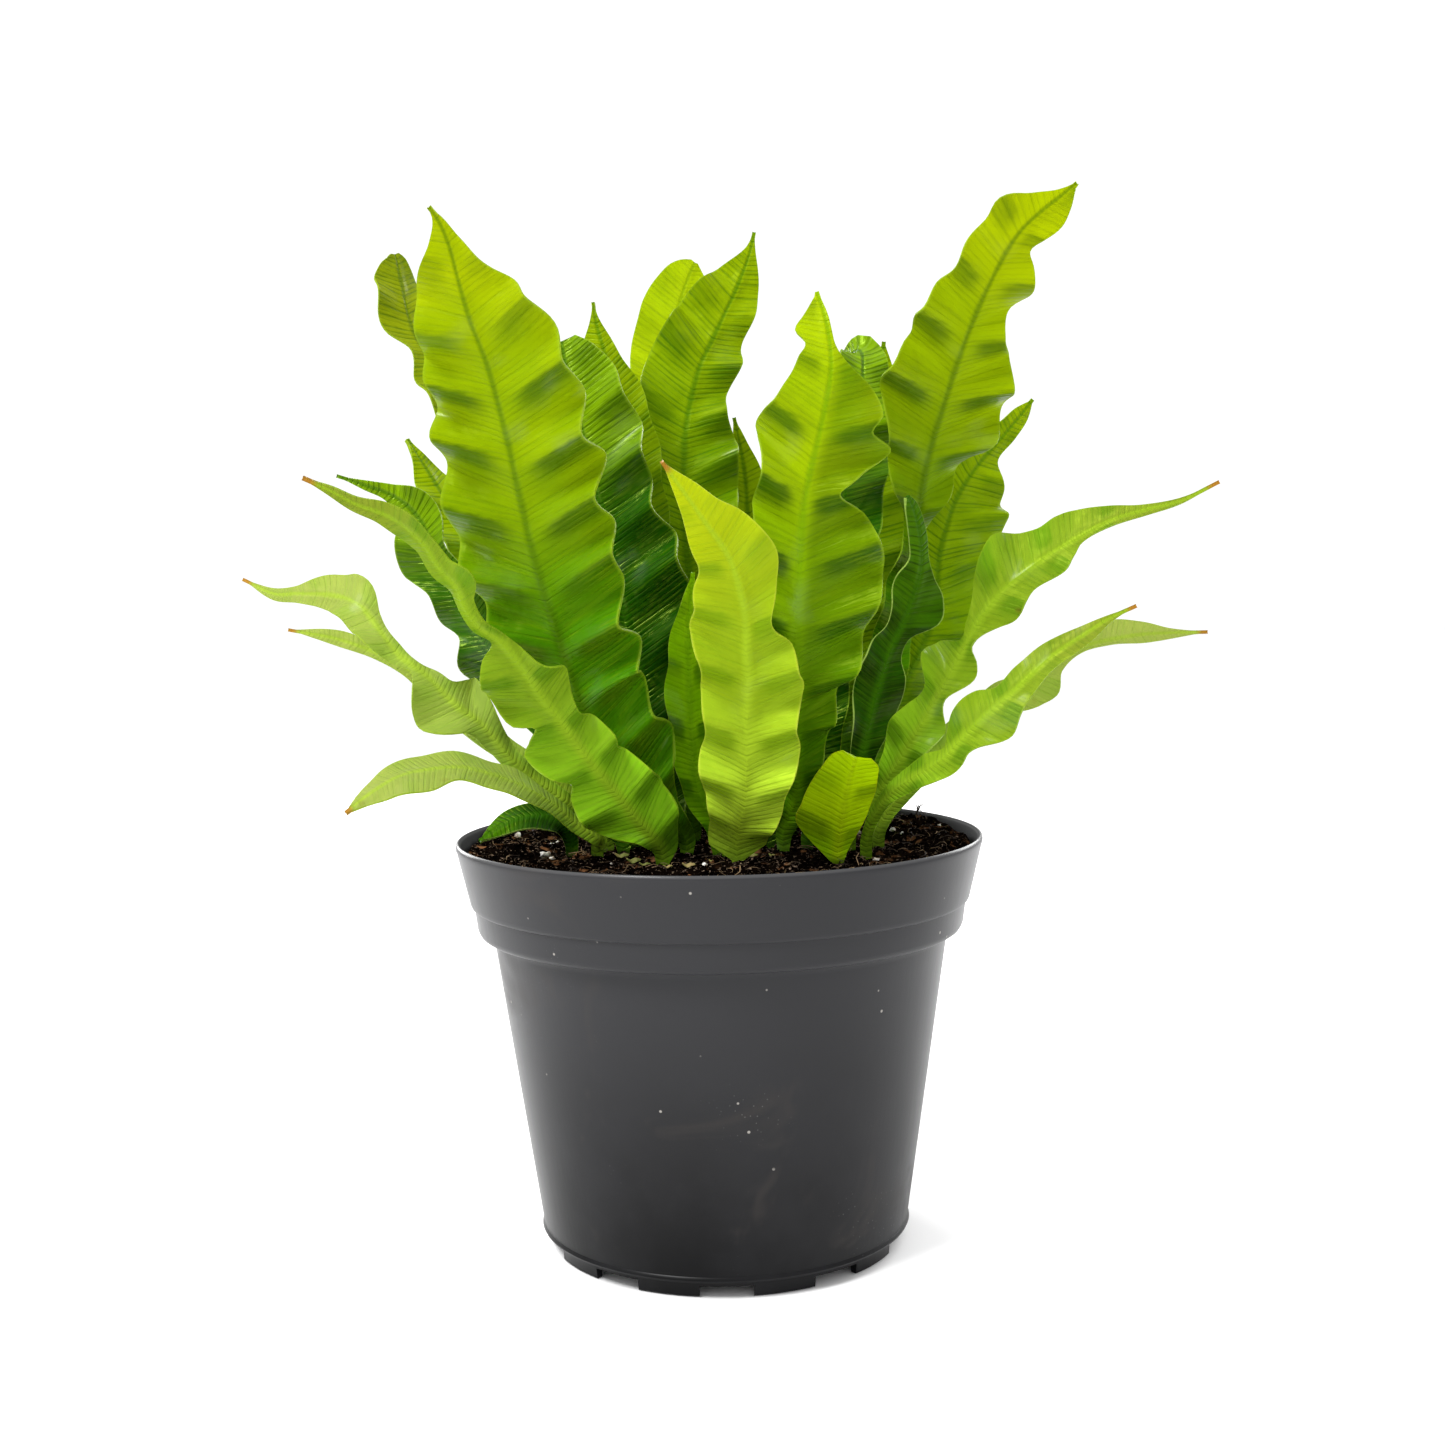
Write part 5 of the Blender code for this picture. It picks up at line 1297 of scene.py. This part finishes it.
def blade_sheet(plan, seed, per_ripple):
    """Places of the blade's points and the numbers that go with them, row by row."""
    points, back = rib_points(plan)
    curve = smooth_curve(points)
    run = np.concatenate([[0.0], np.cumsum(np.linalg.norm(np.diff(curve, axis=0), axis=1))])
    total = run[-1]
    knots = run[::CURVE_STEPS] / total
    rules = {"left": width_rule(plan, 0, knots), "right": width_rule(plan, 1, knots)}
    steps = [(-1, "left", share) for share in ACROSS[:0:-1]]
    steps += [(1, "right", share) for share in ACROSS]
    places = []
    facts = []
    for depth in (BURIED, 0.0):
        for sign, _, share in steps:
            beside = sign * share * STALK_HALF_WIDTH
            places.append(points[0] + np.array([beside, 0.0, -depth]))
            facts.append((share, 0.0, 0.0, beside, -depth, 1.0))

    def at(length):
        return np.array([np.interp(length, run, curve[:, k]) for k in range(3)])

    for length in row_lengths(total, per_ripple):
        share = length / total
        turn = math.radians(value_along(plan.get("turn", (0, 0)), share))
        rib, along, across, normal = rib_frame(at, length, back, turn)
        ripple = plan["ripple"]
        if isinstance(ripple, tuple):
            ripple = value_along(ripple, share)
        stalk = max(0.0, 1 - share / STALK_FADE)
        fading = 1 - TIP_FADE * smooth_step(TIP_FADE_FROM, TIP_FADE_TO, share)
        widths = {name: half_width(rules[name], share) for name in rules}
        for sign, name, out in steps:
            width = widths[name]
            aside = out * width
            lead = RIGHT_MARGIN_LEAD if name == "right" else 0.0
            own = seed + lead
            beat = ripple_phase(length - aside * RIPPLE_LAG)
            swing = 2 * math.pi * beat + lead + UNEVEN_BEAT * wander(own, beat)
            swell = 1 + UNEVEN_SWELL * wander(own + 20, beat)
            lift = ripple * MM * min(width / FULL_WIDTH, 1.0) * swell
            scallop = plan.get("scallop", PLAIN_SCALLOP) * math.sin(swing + SCALLOP_LEAD)
            wave = math.sin(swing + SHARP_CREST * math.sin(swing)) * out ** MARGIN_LIFT
            place = rib + across * sign * aside * (1 + scallop)
            places.append(place + along * aside * math.tan(RIPPLE_RISE) + normal * lift * wave)
            # How strong the painted fold shade is at this point; it fades near the tip.
            strength = FOLD_PLAIN + FOLD_FOR_RIPPLE * ripple + FOLD_UNEVEN * wander(own + 40, beat)
            strength = min(1.0, max(0.0, strength)) * smooth_step(0.0, FOLD_FROM_RIB, out)
            shaded = fold_shade(swing) * strength * fading
            thick = max(stalk * STALK_FILL, max(0.0, 1 - aside / RIB_REACH) ** RIB_ROUNDING)
            facts.append((out, share, shaded, sign * aside, length, thick))
    return np.array(places), np.array(facts), len(steps)


print("points across a blade:", 2 * len(ACROSS) - 1)

# %% Blade
RIB_THICKNESS = 1.5 * MM
BLADE_THICKNESS = 0.55 * MM
UV_PER_METRE = 10


def make_blade(node, plan, seed, per_ripple, slot, finish):
    """One frond: a grid laid on its plan, thickened, and put in its solid's place."""
    places, facts, columns = blade_sheet(plan, seed, per_ripple)
    rows = len(places) // columns
    clear_selection()
    bpy.ops.mesh.primitive_grid_add(x_subdivisions=columns - 1, y_subdivisions=rows - 1, size=1.0)
    blade = bpy.context.object
    blade.name = node.replace("frond", "blade")
    mesh = blade.data
    mesh.vertices.foreach_set("co", places.astype(np.float32).ravel())
    for name, values in zip(("edge", "reach", "shade"), facts.T):
        stored = mesh.attributes.new(name, "FLOAT", "POINT")
        stored.data.foreach_set("value", values.astype(np.float32))
    corner_points = np.empty(len(mesh.loops), dtype=np.int32)
    mesh.loops.foreach_get("vertex_index", corner_points)
    chart = facts[corner_points, 3:5] * UV_PER_METRE
    mesh.uv_layers.active.data.foreach_set("uv", chart.astype(np.float32).ravel())
    mesh.uv_layers.active.name = "blade"
    group = blade.vertex_groups.new(name="rib")
    for index, value in enumerate(facts[:, 5]):
        group.add([index], float(value), "REPLACE")
    solid = blade.modifiers.new("Thickness", "SOLIDIFY")
    solid.thickness = RIB_THICKNESS
    solid.offset = 0.0
    solid.vertex_group = "rib"
    solid.thickness_vertex_group = BLADE_THICKNESS / RIB_THICKNESS
    bpy.ops.object.modifier_apply(modifier="Thickness")
    smooth_faces(blade, 50)
    dress(blade, finish)
    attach(blade, "root")
    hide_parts(node)
    return blade


print("blade:", BLADE_THICKNESS / MM, "mm thick,", RIB_THICKNESS / MM, "mm at the rib")

# %% [markdown]
# ## Leaf
# A fern blade is a thin sheet that lets light through: seen against the light it glows
# yellow-green, and in the shade it is deep green. So its finish mixes a glossy shader with one
# that passes light. Young tissue is yellow-green, and the blade darkens towards the soil, partly
# as older tissue and partly as painted shade deep in the plant. Fine parallel side veins run
# nearly square to the rib as pale and dark streaks and a low relief, the rib is a paler or darker
# line, each fold gets painted shade in a deeper green just under its crest, and the margin has a
# thin pale edge. Older tissue is waxy in patches, and one half of a folded blade gets painted
# shade. The streaks are noise on the blade's own UV map, pulled long across the blade.


# %% Leaf finish
VEIN_PITCH = 1.5 * MM
DENT_DEPTH = 1.6 * MM
RELIEF_STRENGTH = 0.6
WAX_ROUGHNESS = 0.24
STALK_AND_SHADE_TONE = (0.02, 0.055, 0.003)
SPOT_TONE = (0.13, 0.045, 0.012)
DRY_TONE = (0.33, 0.13, 0.02)


# fold is the deeper green for the painted fold shade, the painted side shade and the dark vein
# streaks; bands is how strong the painted fold shade is.
def leaf_finish(name, tip, middle, base, fold, rib, through, streak, bands, gloss, glow,
                margin=(0.28, 0.42, 0.02), spots=0.0, dry_tip=0.0,
                dark_until=0.12, bright_from=0.5, tip_from=0.92, relief_depth=0.5 * MM,
                sheen=0.24, sheen_tint=(0.8, 1.0, 0.05), side_shade=0.0, shaded_side=1.0, wax=0.5):
    """A leaf's finish from its colours at the tip, the middle and the base of the blade."""
    page = Page(name)
    chart = page.add("UVMap", {"uv_map": "blade"}).outputs[0]
    place = page.place()
    sideways = page.part(chart, "X")
    across = abs(sideways)
    edge = page.attribute("edge")
    reach = page.attribute("reach")
    shade = page.attribute("shade")
    clouds = page.noise(place, 38.0)
    level = page.part(chart, "Y") - across * 0.18 + clouds * 0.012
    vein_place = page.add("CombineXYZ", {}, {"X": across * 2.2, "Y": level}).outputs[0]
    veins = page.noise(page.stretched(vein_place, (2.2, 70.0, 1.0)), 1.0, 3.0, 0.6)
    fine = page.noise(page.stretched(vein_place, (4.0, 210.0, 1.0)), 1.0, 2.0, 0.55)
    lines = (level * (2 * math.pi / (VEIN_PITCH * UV_PER_METRE))).sine()
    lines = lines.rise(-0.2, 0.9) * veins.rise(0.36, 0.6)
    painted_fold_shade = shade + (veins - 0.5) * 0.5 * shade
    rib_line = 1.0 - (across / (1.25 - reach)).rise(0.003, 0.026)
    tissue = page.layered(
        base,
        (reach.rise(dark_until, bright_from), middle),
        (reach.rise(bright_from, tip_from), tip),
        # Painted shade under each fold's crest, and on one half of a folded blade.
        (painted_fold_shade.rise(0.02, 0.85, 0.0, bands), fold),
        ((sideways * shaded_side).rise(0.0, 0.04) * side_shade, fold),
        (veins.rise(0.36, 0.68) * streak * 0.5, fold),
        (lines * streak, fold),
        ((1.0 - fine.rise(0.34, 0.5)) * streak * 0.5, tip),
        (clouds.rise(0.45, 0.7) * 0.25, base),
        (rib_line * 0.75, rib),
        (edge.rise(0.95, 1.0) * 0.5, margin),
        # Darker towards the stalk at the soil: partly stalk colour, partly painted shade.
        (reach.rise(0.0, 0.1, 0.8, 0.0), STALK_AND_SHADE_TONE))
    if spots:
        scab = 1.0 - page.cells(place, 75.0).rise(0.02, 0.11)
        scab = scab * page.noise(place, 26.0, 1.0).rise(0.5, 0.56)
        tissue = page.mix(scab * spots, tissue, SPOT_TONE)
    if dry_tip:
        tissue = page.mix(reach.rise(1 - dry_tip, 1 - dry_tip * 0.35), tissue, DRY_TONE)
    shine = gloss + clouds * 0.10 - veins * 0.06 + edge.rise(0.93, 1.0) * 0.25
    shine = shine + reach.rise(dark_until, bright_from, -0.1, 0.0)
    relief = veins * 0.5 + fine * 0.3 - lines * 0.5 - rib_line * 0.8
    relief = relief * relief_depth + page.noise(place, 150.0) * DENT_DEPTH
    normal = page.bump(relief, 1.0, RELIEF_STRENGTH)
    waxed = page.noise(place, 60.0, 1.0).rise(0.58, 0.72) * (1.0 - reach.rise(bright_from, 1.0))
    page.give(Base_Color=tissue, Roughness=shine, Normal=normal, Coat_Weight=waxed * wax)
    page.give(Specular_IOR_Level=sheen, Specular_Tint=sheen_tint, Coat_Roughness=WAX_ROUGHNESS)
    sheet = page.add("BsdfTranslucent", {}, {"Color": through, "Normal": normal})
    share = reach.rise(dark_until * 0.5, bright_from, glow * 0.2, glow)
    # Less light passes through where the painted fold shade, the rib and the vein lines are.
    share = share * (1.0 - shade * bands * 0.8) * (1.0 - rib_line * 0.6) * (1.0 - lines * streak)
    mixed = page.add("MixShader", {}, {0: share, 1: page.shader.outputs[0], 2: sheet.outputs[0]})
    page.feed(page.tree.nodes["Material Output"].inputs["Surface"], mixed.outputs[0])
    return page


print("veins every", VEIN_PITCH / MM, "mm")

# %% Leaf colours
# Besides leaf colour, these finishes carry painted light and shade: sunlit, young and grass are
# lighter as painted light, and deep and dark, on fronds inside the plant, are darker partly as
# painted shade.
LEAVES = {
    "sunlit": dict(
        tip=(0.371, 0.451, 0.001), middle=(0.268, 0.396, 0.001), base=(0.045, 0.185, 0.001),
        fold=(0.04, 0.10, 0.001), rib=(0.045, 0.11, 0.001), through=(0.508, 0.59, 0.002),
        streak=0.24, bands=0.92, gloss=0.36, glow=0.5, dark_until=0.38, bright_from=0.72),
    "new": dict(
        tip=(0.50, 0.60, 0.008), middle=(0.31, 0.47, 0.014), base=(0.418, 0.627, 0.03),
        fold=(0.12, 0.24, 0.002), rib=(0.28, 0.42, 0.015), through=(0.68, 0.714, 0.01),
        streak=0.22, bands=0.72, gloss=0.36, glow=0.5, margin=(0.55, 0.64, 0.06), dry_tip=0.035),
    "young": dict(
        tip=(0.551, 0.803, 0.001), middle=(0.53, 0.781, 0.001), base=(0.27, 0.55, 0.001),
        fold=(0.12, 0.22, 0.001), rib=(0.32, 0.47, 0.002), through=(0.726, 0.814, 0.003),
        streak=0.22, bands=0.8, gloss=0.34, glow=0.45, margin=(0.40, 0.42, 0.01), wax=0.2,
        side_shade=0.3, shaded_side=-1.0),
    "fresh": dict(
        tip=(0.382, 0.51, 0.002), middle=(0.223, 0.42, 0.001), base=(0.07, 0.246, 0.001),
        fold=(0.022, 0.075, 0.001), rib=(0.12, 0.25, 0.001), through=(0.48, 0.592, 0.002),
        streak=0.24, bands=0.95, gloss=0.3, glow=0.42, dark_until=0.1, tip_from=0.82,
        side_shade=0.55),
    "grass": dict(
        tip=(0.26, 0.46, 0.002), middle=(0.28, 0.58, 0.001), base=(0.16, 0.42, 0.001),
        fold=(0.02, 0.11, 0.001), rib=(0.12, 0.30, 0.001), through=(0.50, 0.76, 0.002),
        streak=0.22, bands=0.85, gloss=0.26, glow=0.5, margin=(0.45, 0.60, 0.05)),
    "deep": dict(
        tip=(0.05, 0.16, 0.001), middle=(0.006, 0.045, 0.001), base=(0.004, 0.035, 0.001),
        fold=(0.002, 0.018, 0.001), rib=(0.02, 0.09, 0.001), through=(0.10, 0.26, 0.002),
        streak=0.5, bands=0.7, gloss=0.3, glow=0.08, margin=(0.45, 0.62, 0.12), sheen=0.18),
    "striped": dict(
        tip=(0.27, 0.374, 0.001), middle=(0.145, 0.283, 0.001), base=(0.018, 0.108, 0.001),
        fold=(0.02, 0.095, 0.001), rib=(0.04, 0.13, 0.001), through=(0.432, 0.544, 0.002),
        streak=0.55, bands=0.6, gloss=0.34, glow=0.42),
    "dark": dict(
        tip=(0.19, 0.339, 0.002), middle=(0.0114, 0.0819, 0.001), base=(0.0054, 0.0446, 0.001),
        fold=(0.005, 0.04, 0.001), rib=(0.02, 0.09, 0.001), through=(0.225, 0.42, 0.003),
        streak=0.4, bands=0.75, gloss=0.2, glow=0.2, dark_until=0.1, bright_from=0.66,
        tip_from=0.84, relief_depth=0.9 * MM, sheen=0.4, sheen_tint=(0.7, 1.0, 0.08)),
    "olive": dict(
        tip=(0.246, 0.304, 0.004), middle=(0.164, 0.267, 0.003), base=(0.036, 0.13, 0.002),
        fold=(0.045, 0.10, 0.002), rib=(0.06, 0.12, 0.002), through=(0.4, 0.448, 0.006),
        streak=0.65, bands=0.5, gloss=0.42, glow=0.36),
    "arching": dict(
        tip=(0.242, 0.301, 0.03), middle=(0.21, 0.344, 0.014), base=(0.219, 0.507, 0.01),
        fold=(0.05, 0.15, 0.002), rib=(0.21, 0.34, 0.012), through=(0.441, 0.532, 0.02),
        streak=0.28, bands=0.7, gloss=0.3, glow=0.42, spots=0.55, dry_tip=0.03, dark_until=0.05),
    "pale_smooth": dict(
        tip=(0.354, 0.408, 0.1), middle=(0.294, 0.392, 0.07), base=(0.126, 0.27, 0.008),
        fold=(0.18, 0.32, 0.02), rib=(0.24, 0.36, 0.02), through=(0.474, 0.548, 0.1),
        streak=0.28, bands=0.45, gloss=0.44, glow=0.45, spots=0.3, dry_tip=0.03),
    "pale_back": dict(
        tip=(0.31, 0.368, 0.004), middle=(0.271, 0.359, 0.002), base=(0.09, 0.218, 0.002),
        fold=(0.15, 0.26, 0.002), rib=(0.17, 0.28, 0.002), through=(0.566, 0.689, 0.004),
        streak=0.4, bands=0.5, gloss=0.5, glow=0.56),
}
leaf_finishes = {name: leaf_finish("leaf_" + name, **look) for name, look in LEAVES.items()}
print("leaf finishes:", len(leaf_finishes))

# %% [markdown]
# ## Fronds
# Every frond is now made from its plan, with the finish of its age and place in the plant:
# sunlit ones at the front and top, lighter as painted light, striped ones seen against the light,
# and dark ones inside, darker partly as tissue and partly as painted shade.

# %% Fronds
FRONT_ROWS_PER_RIPPLE = 14
FAR_ROWS_PER_RIPPLE = 10
LOOKS = {
    "frond_tall_left": ("frond_bright", "sunlit"),
    "frond_curved_low_left": ("frond_green", "arching"),
    "frond_yellow_new": ("frond_bright", "new"),
    "frond_small_behind_yellow": ("frond_bright", "grass"),
    "frond_round_right": ("frond_green", "fresh"),
    "frond_young_folded": ("frond_bright", "young"),
    "frond_tall_right": ("frond_bright", "sunlit"),
    "frond_behind_tall_right": ("frond_green", "striped"),
    "frond_dark_cup_right": ("frond_dark", "deep"),
    "frond_arching_right": ("frond_green", "arching"),
    "frond_low_right": ("frond_green", "arching"),
    "frond_behind_low_right": ("frond_green", "pale_smooth"),
    "frond_striped_right": ("frond_dark", "striped"),
    "frond_curled_behind_round": ("frond_green", "dark"),
    "frond_slim_centre_back": ("frond_dark", "striped"),
    "frond_striped_centre": ("frond_green", "striped"),
    "frond_light_back": ("frond_bright", "pale_back"),
    "frond_narrow_centre": ("frond_green", "striped"),
    "frond_dark_behind_tall_left": ("frond_dark", "dark"),
    "frond_left_behind_tall": ("frond_green", "striped"),
    "frond_olive_back_left": ("frond_green", "olive"),
    "frond_lobed_left": ("frond_dark", "dark"),
    "frond_arching_left": ("frond_green", "pale_smooth"),
    "frond_thin_left": ("frond_green", "pale_smooth"),
    "frond_low_left": ("frond_bright", "pale_smooth"),
    "frond_small_olive_left": ("frond_green", "deep"),
    "frond_small_dark_left": ("frond_dark", "dark"),
    "frond_back_inner_right": ("frond_dark", "striped"),
    "frond_back_inner_left": ("frond_dark", "striped"),
}
blade_faces = 0
for seed, (node, plan) in enumerate({**FRONDS, **BACK_FRONDS}.items()):
    slot, look = LOOKS.get(node, ("frond_green", "fresh"))
    rows = FRONT_ROWS_PER_RIPPLE if node in FRONDS else FAR_ROWS_PER_RIPPLE
    blade = make_blade(node, plan, seed, rows, slot, leaf_finishes[look])
    blade_faces += len(blade.data.polygons)
print("fronds:", len(FRONDS) + len(BACK_FRONDS), "faces:", blade_faces)
